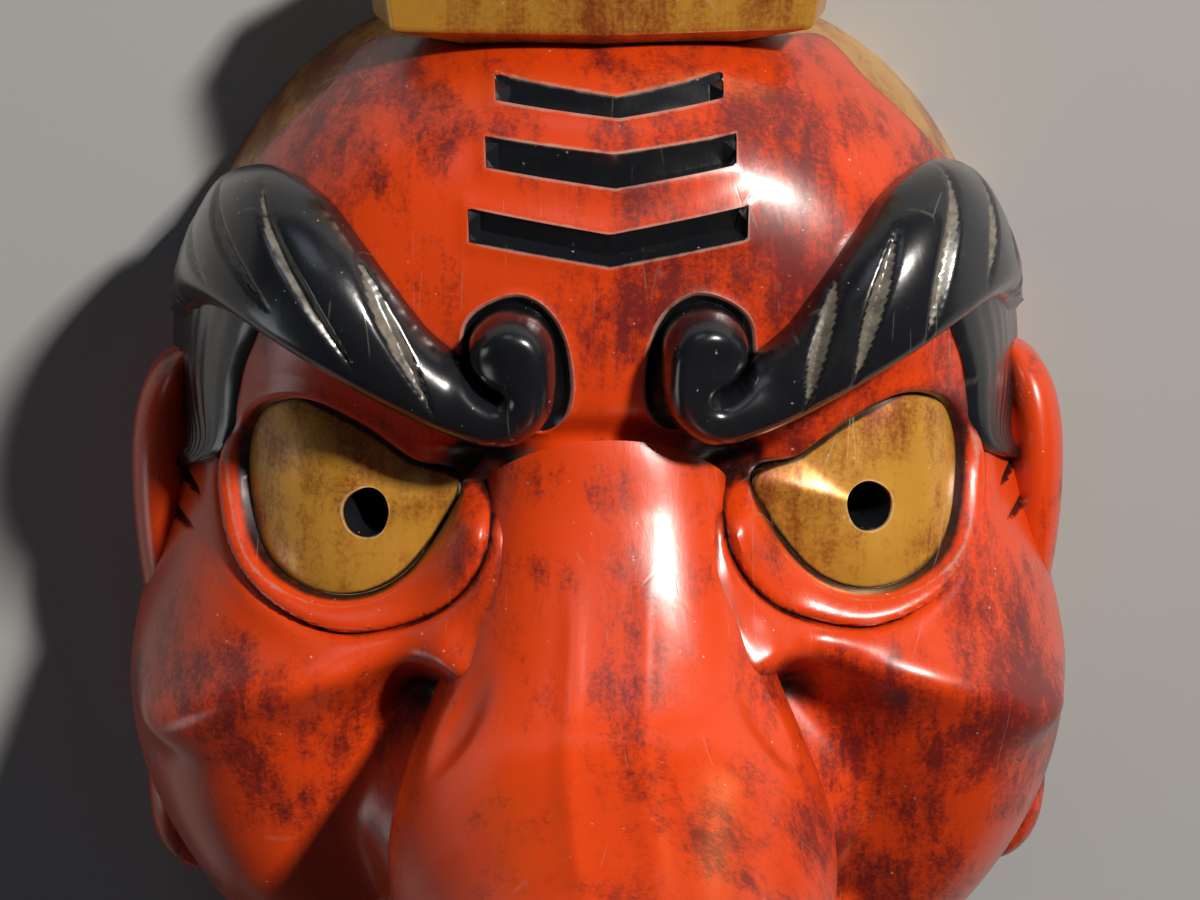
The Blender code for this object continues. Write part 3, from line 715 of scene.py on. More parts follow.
def smudges() -> bpy.types.NodeTree:
    """Cloudy rubbed patches with finely speckled edges.

    Returns:
        The node group.
    """
    group = Group("smudges", {"Scale": 16.0, "Low": 0.5, "High": 0.72, "Grain": 0.3}, ("Mask",))
    wire = Wiring(group.tree)
    where = wire.here((1.0, 0.8, 0.4), (0.0, 0.0, 0.5))
    patch = wire.noise(where, group.source.outputs["Scale"], 5.0, 0.62, 0.6)
    small = wire.noise(where, wire.math("MULTIPLY", group.source.outputs["Scale"], 3.6), 4.0, 0.6)
    patch = wire.math("ADD", wire.math("MULTIPLY", patch, 0.62), wire.math("MULTIPLY", small, 0.38))
    grain = wire.noise(wire.here((1.0, 1.0, 1.0)), 900.0, 4.0, 0.8)
    brushed = wire.noise(wire.here((1.0, 0.16, 0.5), (0.0, 0.0, 0.6)), 260.0, 5.0, 0.7)
    speckle = wire.math("MULTIPLY", wire.math("ADD", grain, brushed), 0.5)
    speckle = wire.math("MULTIPLY", wire.math("SUBTRACT", speckle, 0.5), group.source.outputs["Grain"])
    mask = wire.ramp(wire.math("ADD", patch, speckle), group.source.outputs["Low"],
                     group.source.outputs["High"])
    wire.join(mask, group.sink.inputs["Mask"])
    return group.tree


def fine_scratches() -> bpy.types.NodeTree:
    """Thin wandering scratches and small pale specks.

    Returns:
        The node group.
    """
    group = Group("fine_scratches", {"Scale": 60.0, "Specks": 420.0}, ("Scratch", "Speck"))
    wire = Wiring(group.tree)
    total = None
    for turn in ((0.0, 0.0, 0.4), (0.0, 0.0, 1.9)):
        cell = wire.node("ShaderNodeTexVoronoi", feature="DISTANCE_TO_EDGE")
        wire.join(wire.here((1.0, 0.12, 0.4), turn), cell.inputs["Vector"])
        wire.join(group.source.outputs["Scale"], cell.inputs["Scale"])
        line = wire.math("SUBTRACT", 1.0, wire.ramp(cell.outputs["Distance"], 0.0, 0.012))
        keep = wire.ramp(wire.noise(wire.here(turn=turn), 55.0, 3.0), 0.56, 0.66)
        line = wire.math("MULTIPLY", line, keep)
        total = line if total is None else wire.math("MAXIMUM", total, line)
    wire.join(total, group.sink.inputs["Scratch"])
    cell = wire.node("ShaderNodeTexVoronoi", feature="F1")
    wire.join(wire.here(), cell.inputs["Vector"])
    wire.join(group.source.outputs["Specks"], cell.inputs["Scale"])
    dot = wire.math("SUBTRACT", 1.0, wire.ramp(cell.outputs["Distance"], 0.06, 0.16))
    few = wire.ramp(wire.noise(wire.here(), 300.0, 2.0), 0.60, 0.66)
    wire.join(wire.math("MULTIPLY", dot, few), group.sink.inputs["Speck"])
    return group.tree


@dataclass(frozen=True)
class Lacquer:
    """A lacquer over carved wood, with its smudges, rubbed edges and scratches, painted highlights, and
    painted shade in its hollows.
    """

    name: str
    base: tuple[float, float, float]
    shade: tuple[float, float, float]
    # deep is the colour of the painted shade in hollows, creases and where pieces meet.
    deep: tuple[float, float, float]
    # The pale colour of wear, also used for painted highlights.
    worn: tuple[float, float, float]
    smudge_scale: float
    smudge_low: float
    smudge_high: float
    smudge_grain: float
    roughness: float
    worn_roughness: float
    metallic: float
    coat: float
    edge_reach: float
    hollow_reach: float
    bump: float
    pore_scale: float
    coat_roughness: float = 0.23
    bump_distance: float = 0.0012
    tone_scale: float = 9.0
    tone_shade: float = 0.82
    wear_and_highlight_share: float = 0.8
    scratch_share: float = 0.3
    speck_share: float = 0.55
    speck: tuple[float, float, float] = (0.62, 0.58, 0.52)
    cloud_scale: float = 70.0
    cloud_share: float = 0.24
    smudge_roughness: float = 0.08

    def build(self, groups: dict[str, bpy.types.NodeTree]) -> bpy.types.Material:
        """The material of this finish.

        Args:
            groups: The shared node groups by name.

        Returns:
            The material.
        """
        material = bpy.data.materials.new(self.name)
        material.use_nodes = True
        wire = Wiring(material.node_tree)
        shader = material.node_tree.nodes["Principled BSDF"]
        placed = {}
        for key, tree in groups.items():
            placed[key] = wire.node("ShaderNodeGroup")
            placed[key].node_tree = tree
        marks, patches, lines = placed["marks"], placed["smudges"], placed["scratches"]
        marks.inputs["Edge Reach"].default_value = self.edge_reach
        marks.inputs["Hollow Reach"].default_value = self.hollow_reach
        patches.inputs["Scale"].default_value = self.smudge_scale
        patches.inputs["Low"].default_value = self.smudge_low
        patches.inputs["High"].default_value = self.smudge_high
        patches.inputs["Grain"].default_value = self.smudge_grain
        tone = wire.noise(wire.here(), self.tone_scale, 3.0)
        colour = wire.mix(wire.ramp(tone, 0.35, 0.7), (*self.base, 1.0),
                          (*(self.tone_shade * c for c in self.base), 1.0))
        colour = wire.mix(patches.outputs["Mask"], colour, (*self.shade, 1.0))
        # Painted shade: the deep colour in hollows, creases and where pieces meet.
        colour = wire.mix(marks.outputs["Hollow"], colour, (*self.deep, 1.0))
        # Pale colour for wear, and for painted highlights along lid rims, channel lips and groove valleys.
        rubbed = wire.math("MULTIPLY", marks.outputs["Worn"], self.wear_and_highlight_share)
        colour = wire.mix(rubbed, colour, (*self.worn, 1.0))
        scratch = wire.math("MULTIPLY", lines.outputs["Scratch"], self.scratch_share)
        colour = wire.mix(scratch, colour, (*self.worn, 1.0))
        speck = wire.math("MULTIPLY", lines.outputs["Speck"], self.speck_share)
        colour = wire.mix(speck, colour, (*self.speck, 1.0))
        wire.join(colour, shader.inputs["Base Color"])
        cloud = wire.math("SUBTRACT", wire.noise(wire.here(), self.cloud_scale, 6.0, 0.65), 0.5)
        rough = wire.math("ADD", self.roughness, wire.math("MULTIPLY", cloud, self.cloud_share))
        rough = wire.math("ADD", rough, wire.math("MULTIPLY", marks.outputs["Worn"],
                                                  self.worn_roughness - self.roughness))
        rough = wire.math("ADD", rough, wire.math("MULTIPLY", patches.outputs["Mask"], self.smudge_roughness),
                          clamp=True)
        wire.join(rough, shader.inputs["Roughness"])
        shader.inputs["Metallic"].default_value = self.metallic
        shader.inputs["Coat Weight"].default_value = self.coat
        shader.inputs["Coat Roughness"].default_value = self.coat_roughness
        height = wire.math("MULTIPLY", wire.noise(wire.here((1.0, 0.5, 1.0)), 95.0, 3.0, 0.5), 0.5)
        pores = wire.noise(wire.here((1.0, 0.22, 0.6), (0.0, 0.0, 0.3)), self.pore_scale, 4.0, 0.7)
        height = wire.math("ADD", height, wire.math("MULTIPLY", pores, 0.10))
        height = wire.math("SUBTRACT", height, wire.math("MULTIPLY", lines.outputs["Scratch"], 0.05))
        wire.join(wire.bump(height, self.bump, self.bump_distance), shader.inputs["Normal"])
        return material


@dataclass(frozen=True)
class BareWood:
    """Plain carved wood, thinly stained, with the grain along the face."""

    name: str = "bare_wood_inside"
    light: tuple = (0.30, 0.17, 0.085)
    dark: tuple = (0.11, 0.052, 0.024)
    roughness: float = 0.72
    grain_scale: float = 160.0
    ring_scale: float = 28.0
    gouge_scale: float = 75.0
    bump: float = 0.5
    bump_distance: float = 0.0016

    def build(self) -> bpy.types.Material:
        """The material of this finish.

        Returns:
            The material.
        """
        material = bpy.data.materials.new(self.name)
        material.use_nodes = True
        wire = Wiring(material.node_tree)
        shader = material.node_tree.nodes["Principled BSDF"]
        grain = wire.noise(wire.here((1.0, 0.05, 0.5)), self.grain_scale, 6.0, 0.7, 0.4)
        rings = wire.node("ShaderNodeTexWave", bands_direction="X")
        wire.join(wire.here((1.0, 0.10, 0.4)), rings.inputs["Vector"])
        rings.inputs["Scale"].default_value = self.ring_scale
        rings.inputs["Distortion"].default_value = 5.0
        rings.inputs["Detail"].default_value = 3.0
        share = wire.math("MULTIPLY", wire.math("ADD", grain, rings.outputs["Fac"]), 0.5)
        wire.join(wire.mix(share, (*self.light, 1.0), (*self.dark, 1.0)), shader.inputs["Base Color"])
        shader.inputs["Roughness"].default_value = self.roughness
        gouges = wire.node("ShaderNodeTexVoronoi", feature="SMOOTH_F1")
        wire.join(wire.here((1.0, 0.45, 1.0)), gouges.inputs["Vector"])
        gouges.inputs["Scale"].default_value = self.gouge_scale
        height = wire.math("ADD", gouges.outputs["Distance"], wire.math("MULTIPLY", grain, 0.25))
        wire.join(wire.bump(height, self.bump, self.bump_distance), shader.inputs["Normal"])
        return material


RED = Lacquer(
    name="red_lacquer_worn", base=(0.66, 0.050, 0.003), shade=(0.15, 0.010, 0.007),
    deep=(0.012, 0.003, 0.003), worn=(0.42, 0.22, 0.17), smudge_scale=19.0, smudge_low=0.47,
    smudge_high=0.64, smudge_grain=0.60, roughness=0.33, worn_roughness=0.46, metallic=0.0, coat=0.42,
    edge_reach=0.0, hollow_reach=0.04, bump=0.36, pore_scale=520.0)
BLACK = Lacquer(
    name="black_lacquer_worn", base=(0.008, 0.009, 0.012), shade=(0.018, 0.016, 0.016),
    deep=(0.003, 0.003, 0.003), worn=(0.22, 0.195, 0.155), smudge_scale=22.0, smudge_low=0.50,
    smudge_high=0.80, smudge_grain=0.6, roughness=0.24, worn_roughness=0.42, metallic=0.0, coat=0.5,
    edge_reach=0.05, hollow_reach=0.1, bump=0.35, pore_scale=420.0)
GOLD = Lacquer(
    name="gold_lacquer_worn", base=(0.66, 0.32, 0.040), shade=(0.24, 0.045, 0.006),
    deep=(0.030, 0.010, 0.004), worn=(0.66, 0.50, 0.28), smudge_scale=24.0, smudge_low=0.40,
    smudge_high=0.64, smudge_grain=0.7, roughness=0.34, worn_roughness=0.5, metallic=0.35, coat=0.35,
    edge_reach=0.0, hollow_reach=0.08, bump=0.3, pore_scale=620.0)


class Finishes:
    """All materials, built once."""

    def __init__(self) -> None:
        """Build the shared groups and the materials from them."""
        groups = {"marks": carved_marks(), "smudges": smudges(), "scratches": fine_scratches()}
        self.red = RED.build(groups)
        self.black = BLACK.build(groups)
        self.gold = GOLD.build(groups)
        self.wood = BareWood().build()


def deselect() -> None:
    """Leave nothing selected."""
    for shape in bpy.context.selected_objects:
        shape.select_set(False)


def new_piece(name: str, vertices: Points, faces: list, materials: list, face_material: list | None = None,
              crisp: float = 38.0, worn: Points | None = None,
              dark: Points | None = None) -> bpy.types.Object:
    """A mesh object with its materials, shaded smooth but for its crisp edges.

    Args:
        name: The piece's name.
        vertices: Its points.
        faces: Its faces.
        materials: Its materials.
        face_material: For each face, the place of its material in that list.
        crisp: Angle in degrees past which an edge stays sharp.
        worn: For each point, how far its lacquer is rubbed away or carries a painted highlight, beside what
            its edges say.
        dark: For each point, how much painted shade it gets, beside what its hollows say.

    Returns:
        The new object.
    """
    mesh = bpy.data.meshes.new(name)
    mesh.from_pydata(np.asarray(vertices, float).tolist(), [], [tuple(map(int, face)) for face in faces])
    for material in materials:
        mesh.materials.append(material)
    if face_material is not None:
        mesh.polygons.foreach_set("material_index", np.asarray(face_material, np.int32))
    piece = bpy.data.objects.new(name, mesh)
    bpy.context.scene.collection.objects.link(piece)
    mesh.update()
    dress_edges(piece, crisp)
    add_marks(piece, "convex", worn)
    add_marks(piece, "painted_shade", dark)
    return piece


def add_marks(piece: bpy.types.Object, name: str, extra: Points | None) -> None:
    """Add to one of the two marks that a piece carries at each point.

    Args:
        piece: The piece.
        name: The attribute, convex for wear and painted highlights, or painted_shade.
        extra: What is added at each point, or nothing.
    """
    if extra is None:
        return
    layer = piece.data.attributes[name].data
    values = np.zeros(len(layer), np.float32)
    layer.foreach_get("value", values)
    layer.foreach_set("value", np.clip(values + extra, 0.0, 1.0).astype(np.float32))


def paint_shade_where_pieces_meet(piece: bpy.types.Object, others: list, reach: float, strength: float) -> None:
    """Paint shade on a piece where it comes close to another one.

    Args:
        piece: The piece that is darkened.
        others: The pieces that it may touch.
        reach: How far the painted shade spreads.
        strength: How dark it is where they touch.
    """
    place = np.zeros(len(piece.data.vertices) * 3, np.float32)
    piece.data.vertices.foreach_get("co", place)
    place = place.reshape(-1, 3)
    near = np.full(len(place), 4.0 * reach)
    for other in others:
        tree = BVHTree.FromPolygons([v.co for v in other.data.vertices],
                                    [tuple(face.vertices) for face in other.data.polygons])
        low, high = box_of(other, 3.0 * reach)
        for index in np.where(np.all((place > low) & (place < high), axis=1))[0]:
            found = tree.find_nearest(place[index].tolist(), 3.0 * reach)[3]
            if found is not None:
                near[index] = min(near[index], found)
    add_marks(piece, "painted_shade", strength * np.exp(-(near / reach) ** 1.5))


def box_of(piece: bpy.types.Object, spare: float) -> tuple[Points, Points]:
    """The box round a piece's points, made larger by spare.

    Args:
        piece: The piece.
        spare: How much is added on every side.

    Returns:
        The box's two corners.
    """
    place = np.zeros(len(piece.data.vertices) * 3, np.float32)
    piece.data.vertices.foreach_get("co", place)
    place = place.reshape(-1, 3)
    return place.min(axis=0) - spare, place.max(axis=0) + spare


def dress_edges(piece: bpy.types.Object, crisp: float = 38.0) -> None:
    """Shade a piece smooth by angle, mark its convex edges for wear and its hollows for painted shade.

    Args:
        piece: The piece.
        crisp: Angle in degrees past which an edge stays sharp.
    """
    deselect()
    piece.select_set(True)
    bpy.context.view_layer.objects.active = piece
    bpy.ops.object.shade_smooth_by_angle(angle=math.radians(crisp))
    piece.select_set(False)
    mark_relief(piece.data)


@dataclass(frozen=True)
class Relief:
    """How a bend of the surface counts as a rubbed edge or as a hollow that gets painted shade."""

    limit: float = 900.0
    edge: float = 260.0
    hollow: float = 240.0
    broad: float = 90.0
    hollow_share: float = 0.6
    broad_share: float = 0.7


def mark_relief(mesh: bpy.types.Mesh, broad_rounds: int = 14, relief: Relief = Relief()) -> None:
    """Write how far each vertex stands proud or lies hollow, for wear and for painted shade.

    Args:
        mesh: The finished mesh.
        broad_rounds: How often the measure of the hollows is spread to its neighbours.
        relief: What counts as an edge or a hollow.
    """
    count = len(mesh.vertices)
    place = np.zeros(count * 3, np.float32)
    mesh.vertices.foreach_get("co", place)
    place = place.reshape(-1, 3).astype(float)
    normals = np.zeros(count * 3, np.float32)
    mesh.vertex_normals.foreach_get("vector", normals)
    normals = normals.reshape(-1, 3).astype(float)
    edges = np.zeros(len(mesh.edges) * 2, np.int32)
    mesh.edges.foreach_get("vertices", edges)
    a, b = edges.reshape(-1, 2).T
    degree = np.maximum(np.bincount(a, minlength=count) + np.bincount(b, minlength=count), 1)

    def spread(values: Points) -> Points:
        """Each vertex's mean over its neighbours."""
        total = np.bincount(a, weights=values[b], minlength=count)
        return (total + np.bincount(b, weights=values[a], minlength=count)) / degree

    pull = np.stack([spread(place[:, axis]) for axis in range(3)], axis=1) - place
    leg = np.sum((place[a] - place[b]) ** 2, axis=1)
    size = np.bincount(a, weights=leg, minlength=count)
    size = (size + np.bincount(b, weights=leg, minlength=count)) / degree
    bend = -np.sum(pull * normals, axis=1) / np.maximum(size, 1e-12)
    bend = np.clip(bend, -relief.limit, relief.limit)
    for _ in range(2):
        bend = 0.5 * bend + 0.5 * spread(bend)
    broad = bend.copy()
    for _ in range(broad_rounds):
        broad = 0.4 * broad + 0.6 * spread(broad)
    convex = np.clip(bend / relief.edge, 0.0, 1.0)
    # Sharp and broad hollows get painted shade.
    painted_shade = np.clip(-bend / relief.hollow, 0.0, 1.0) * relief.hollow_share
    painted_shade = painted_shade + np.clip(-broad / relief.broad, 0.0, 1.0) * relief.broad_share
    for name, values in (("convex", convex), ("painted_shade", np.clip(painted_shade, 0.0, 1.0))):
        layer = mesh.attributes.get(name) or mesh.attributes.new(name, "FLOAT", "POINT")
        layer.data.foreach_set("value", values.astype(np.float32))


def settle(piece: bpy.types.Object, slot: Slot) -> None:
    """Tie a finished piece to the frame.

    Args:
        piece: The piece.
        slot: The finish that it is listed under.
    """
    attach(piece, BODY)
    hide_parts(CAD_NODE)
    piece.data.calc_loop_triangles()
    LOG.info("%s: %d triangles, %s", piece.name, len(piece.data.loop_triangles), slot.value)


def hex_points(low: Points, high: Points, gap: float) -> Points:
    """An even field of points in a rectangle.

    Args:
        low: One corner.
        high: The other corner.
        gap: The distance between neighbours.

    Returns:
        A row for each point.
    """
    rows = int((high[1] - low[1]) / (gap * ROW_RISE)) + 1
    columns = int((high[0] - low[0]) / gap) + 1
    j, i = np.mgrid[0:rows, 0:columns]
    x = low[0] + (i + 0.5 * (j % 2)) * gap
    y = low[1] + j * gap * ROW_RISE
    return np.stack([x.ravel(), y.ravel()], axis=1)


def triangulate(loops: list, lines: list, loose: Points, clear: float) -> tuple[Points, Points]:
    """Triangles through given closed loops, open lines and loose points.

    Args:
        loops: Closed lines whose edges are kept.
        lines: Open lines whose edges are kept.
        loose: Further points.
        clear: A loose point nearer than this to a kept line's point is left out.

    Returns:
        The points, and three point numbers for each triangle, turned anticlockwise.
    """
    points = [np.asarray(line, float) for line in (*loops, *lines)]
    edges = []
    start = 0
    for number, line in enumerate(points):
        count = len(line)
        edges += [(start + k, start + k + 1) for k in range(count - 1)]
        if number < len(loops):
            edges.append((start + count - 1, start))
        start += count
    fixed = np.vstack(points)
    tree = KDTree(len(fixed))
    for index, (x, y) in enumerate(fixed):
        tree.insert((x, y, 0.0), index)
    tree.balance()
    free = np.array([tree.find((x, y, 0.0))[2] > clear for x, y in loose])
    both = np.vstack([fixed, loose[free]])
    made = delaunay_2d_cdt([Vector(p) for p in both.tolist()], edges, [], 0, 1e-9)
    plan = np.array([tuple(p) for p in made[0]])
    corners = np.array(made[2], int)
    p, q, r = plan[corners[:, 0]], plan[corners[:, 1]], plan[corners[:, 2]]
    area = (q[:, 0] - p[:, 0]) * (r[:, 1] - p[:, 1]) - (q[:, 1] - p[:, 1]) * (r[:, 0] - p[:, 0])
    corners[area < 0] = corners[area < 0][:, ::-1]
    return plan, corners[np.abs(area) > 1e-14]


def edges_of(corners: Points) -> Points:
    """The two point numbers of every edge of every triangle, in the triangle's own turn."""
    return np.vstack([corners[:, [0, 1]], corners[:, [1, 2]], corners[:, [2, 0]]])


def tube_faces(rings: int, sides: int) -> list:
    """Faces of a tube whose two last points close its first and its last ring.

    Args:
        rings: How many rings of points it has.
        sides: How many points each ring has.

    Returns:
        The point numbers of each face.
    """
    faces = []
    first, last, top = rings * sides, rings * sides + 1, (rings - 1) * sides
    for low in range(0, top, sides):
        for k in range(sides):
            after = (k + 1) % sides
            faces.append((low + k, low + after, low + sides + after, low + sides + k))
    for k in range(sides):
        after = (k + 1) % sides
        faces += [(first, after, k), (last, top + k, top + after)]
    return faces


def sheet_faces(rows: int, columns: int) -> list:
    """Faces of two sheets of points, one under the other, joined round their edge.

    Args:
        rows: How many rows of points each sheet has.
        columns: How many points each row has.

    Returns:
        The point numbers of each face.
    """
    under = rows * columns
    faces = []
    for row in range(rows - 1):
        for column in range(columns - 1):
            a = row * columns + column
            quad = (a, a + columns, a + columns + 1, a + 1)
            faces += [quad, tuple(under + k for k in reversed(quad))]
    edge = [(0, c) for c in range(columns)] + [(r, columns - 1) for r in range(1, rows)]
    edge += [(rows - 1, c) for c in range(columns - 2, -1, -1)] + [(r, 0) for r in range(rows - 2, 0, -1)]
    for (ra, ca), (rb, cb) in zip(edge, edge[1:] + edge[:1]):
        a, b = ra * columns + ca, rb * columns + cb
        faces.append((a, b, under + b, under + a))
    return faces


def turned(faces: list, over: bool) -> list:
    """Faces as they are, or all turned over."""
    return [face[::-1] for face in faces] if over else faces


def mirrored(line: Points, side: int) -> Points:
    """A line in plan on the right side, or its mirror image on the left."""
    return line if side > 0 else line * np.array([-1.0, 1.0])


@dataclass
class Pupil:
    """The round hole drilled through an eye and the face behind it."""

    at: tuple = (0.0565, 0.0080)
    shift: float = 0.0028
    bore: float = 0.0106
    sides: int = 48

    def centre(self, side: Side) -> tuple[float, float]:
        """Its middle in plan."""
        return side.value * self.at[0] + self.shift, self.at[1]

    def uneven(self, turn: Points, side: Side) -> Points:
        """How the hand-drilled radius changes round the hole."""
        return 1.0 + 0.018 * np.sin(3 * turn + side.value) + 0.012 * np.sin(5 * turn)

    def loop(self, side: Side, spare: float = 0.0) -> Points:
        """Its slightly uneven outline in plan.

        Args:
            side: Which side of the face.
            spare: How much wider than the bore.

        Returns:
            The closed outline.
        """
        turn = 2 * math.pi * np.arange(self.sides) / self.sides
        radius = 0.5 * self.bore * self.uneven(turn, side) + spare
        x, y = self.centre(side)
        return np.stack([x + radius * np.cos(turn), y + radius * np.sin(turn)], axis=1)


@dataclass
class FaceShell:
    """The hollow face: the carved outside, the flat rim and the plain inside.

    Its mesh follows rings round the eyes and the grooves, at distances and gaps in millimetres.
    """

    pupil: Pupil = field(default_factory=Pupil)
    disc: float = 0.160
    fine_gap: float = 0.95 * MM
    coarse_gap: float = 1.9 * MM
    rim_points: int = 420
    inside_gap: float = 5.0 * MM
    hollow_nose_at: tuple = (0.0, -0.050)
    hollow_nose_reach: tuple = (0.024, 0.026)
    hollow_nose_rise: float = 0.018
    root_sink_reach: tuple = (0.015, 0.012)
    band_step: float = 0.0016
    bore_spare: float = 0.4 * MM
    eye_rings: tuple = (-1.4, -0.5, 0.0, 0.35, 0.9, 1.7)
    groove_rings: tuple = ((0.0, 1.3), (0.45, 1.0), (1.1, 1.1), (-0.55, 1.2))
    nose_zone: tuple = (0.050, -0.034, 0.016)
    nose_blend: float = 0.009
    nose_slope: float = 1.6
    nose_rounds: int = 8

    def to_disc(self, plan: Points) -> Points:
        """Places in plan, on the flat disc in which the face is divided."""
        angle, share = FORM.dome.find(plan[:, 0], plan[:, 1])
        return self.disc * share[:, None] * np.stack([np.cos(angle), np.sin(angle)], axis=1)

    def polar(self, flat: Points) -> tuple[Points, Points]:
        """Direction and share of places on the disc."""
        return np.arctan2(flat[:, 1], flat[:, 0]), np.hypot(flat[:, 0], flat[:, 1]) / self.disc

    def rim_loop(self) -> Points:
        """The rim on the disc, with a point where each end of the hairline meets it.

        Returns:
            The closed outline on the disc.
        """
        turn = 2 * math.pi * np.arange(self.rim_points) / self.rim_points
        for x, y in (self.hair_line()[0], self.hair_line()[-1]):
            meeting = math.atan2(y, x) % (2 * math.pi)
            turn[np.argmin(np.abs(turn - meeting))] = meeting
        return self.disc * np.stack([np.cos(turn), np.sin(turn)], axis=1)

    def hair_line(self) -> Points:
        """The lower edge of the gold crown band on the disc, from rim to rim.

        Returns:
            The points of the line.
        """
        line = np.vstack([mirrored(FORM.hairline, -1)[:0:-1], FORM.hairline])
        flat = self.to_disc(line)
        flat = flat[np.hypot(flat[:, 0], flat[:, 1]) < 0.985 * self.disc]
        ends = [flat[end] * self.disc / np.hypot(*flat[end]) for end in (0, -1)]
        return np.vstack([ends[0], flat, ends[1]])

    def hair_loop(self) -> Points:
        """The part of the disc that the gold crown band covers, on both sides in one outline."""
        line = self.hair_line()
        return np.vstack([line, 1.3 * line[-1:], mm((200.0, 400.0), (-200.0, 400.0)), 1.3 * line[:1]])

    def outside(self) -> tuple[Points, Points, Points, list]:
        """The carved outside.

        Returns:
            Disc places, points, triangles and the material number of each triangle.
        """
        loops, lines = [self.rim_loop()], []
        plan_blacks = []
        for side in Side:
            s = side.value
            for out in self.eye_rings:
                loops.append(self.to_disc(mirrored(outset(FORM.eye, out * MM), s)))
            for move in ((0.0, 0.0), (0.30, -0.55), (0.75, -1.20)):
                lines.append(self.to_disc(mirrored(FORM.crease + mm(move)[0] * np.array([1.0, 1.0]), s)))
            channel = mirrored(FORM.channel, s)
            loops.append(self.to_disc(channel))
            lines.append(self.to_disc(mirrored(outset(FORM.channel, 0.6 * MM)[:-3], s)))
            lines.append(self.to_disc(mirrored(outset(FORM.channel, -1.0 * MM)[:-3], s)))
            plan_blacks.append(channel)
            loops += [self.to_disc(mirrored(cut, s)) for cut in FORM.cuts]
            loops.append(self.to_disc(self.pupil.loop(side, self.bore_spare)))
        for loop, valley in FORM.grooves:
            for out, gap in self.groove_rings:
                ring = outset(loop, out * MM) if out else loop
                loops.append(self.to_disc(even_points(ring, gap * MM, closed=True)))
            lines.append(self.to_disc(valley))
            plan_blacks.append(loop)
        hair = self.hair_loop()
        lines.append(hair[:-4])
        reach = np.array([self.disc, self.disc])
        fine = hex_points(-reach, reach, self.fine_gap)
        coarse = hex_points(-reach, reach, self.coarse_gap)
        loose = np.vstack([fine[self.wants_fine(fine)], coarse[~self.wants_fine(coarse)]])
        loose = loose[np.hypot(loose[:, 0], loose[:, 1]) < 0.995 * self.disc]
        for loop, _ in FORM.grooves:
            flat = self.to_disc(loop)
            loose = loose[~inside_loop(loose[:, 0], loose[:, 1], flat)]
        flat, corners = triangulate(loops, lines, loose, 0.45 * self.fine_gap)
        for side in Side:
            hole = self.to_disc(self.pupil.loop(side, self.bore_spare))
            middle = flat[corners].mean(axis=1)
            corners = corners[~inside_loop(middle[:, 0], middle[:, 1], hole)]
        angle, share = self.polar(flat)
        base = FORM.dome.place(angle, share)
        middle = flat[corners].mean(axis=1)
        gold_face = inside_loop(middle[:, 0], middle[:, 1], hair)
        gold = inside_loop(flat[:, 0], flat[:, 1], hair)
        edge = line_distance(flat[:, 0], flat[:, 1], hair[:-4])
        step = np.where(gold, -self.band_step * smooth_step(0.0, 1.0 * MM, edge), 0.0)
        points = FORM.point(angle, share, step, carved=True)
        rim = np.hypot(flat[:, 0], flat[:, 1]) > self.disc - RIM_SLACK
        points[rim, 2] = 0.0
        middle_plan = base[corners].mean(axis=1)
        black_face = np.zeros(len(corners), bool)
        for loop in plan_blacks:
            black_face |= inside_loop(middle_plan[:, 0], middle_plan[:, 1], loop)
        material = np.where(black_face, 1, np.where(gold_face, 2, 0))
        return flat, points, corners, material

    def wants_fine(self, flat: Points) -> Points:
        """Where on the disc the carving is fine.

        Args:
            flat: Places on the disc.

        Returns:
            True where it is fine.
        """
        share = self.polar(flat)[1]
        high = (flat[:, 1] > -0.075) & (share < 0.80)
        return high | (share < 0.45)

    def inside(self) -> tuple[Points, Points, Points]:
        """The plain hollow behind the face, with the ends of the two bores.

        Returns:
            Disc places, points and triangles.
        """
        loops = [self.rim_loop()]
        loops += [self.to_disc(self.pupil.loop(side, self.bore_spare)) for side in Side]
        reach = np.array([self.disc, self.disc])
        loose = hex_points(-reach, reach, self.inside_gap)
        loose = loose[np.hypot(loose[:, 0], loose[:, 1]) < 0.985 * self.disc]
        flat, corners = triangulate(loops, [], loose, 0.4 * self.inside_gap)
        for hole in loops[1:]:
            middle = flat[corners].mean(axis=1)
            corners = corners[~inside_loop(middle[:, 0], middle[:, 1], hole)]
        angle, share = self.polar(flat)
        base = FORM.dome.place(angle, share)
        x, y = base[:, 0], base[:, 1]
        nose = self.hollow_nose_rise * bell(x, y, self.hollow_nose_at, self.hollow_nose_reach)
        root = FORM.root_hollow_depth * bell(np.abs(x), y, FORM.root_hollow_at, self.root_sink_reach)
        points = FORM.point(angle, share, nose - root - FORM.wall)
        rim = np.hypot(flat[:, 0], flat[:, 1]) > self.disc - RIM_SLACK
        points[rim, 2] = 0.0
        return flat, points, corners

    def bore_ends(self, flat: Points, side: Side) -> list[int]:
        """Numbers of the points round one bore, in order."""
        hole = self.to_disc(self.pupil.loop(side, self.bore_spare))
        return [int(np.argmin(np.hypot(flat[:, 0] - x, flat[:, 1] - y))) for x, y in hole]

    def rim_ends(self, flat: Points) -> list[int]:
        """Numbers of the points round the rim, in order.

        Args:
            flat: Places on the disc.

        Returns:
            The point numbers.
        """
        rim = np.where(np.hypot(flat[:, 0], flat[:, 1]) > self.disc - RIM_SLACK)[0]
        turn = np.arctan2(flat[rim, 1], flat[rim, 0]) % (2 * math.pi)
        return rim[np.argsort(turn)].tolist()

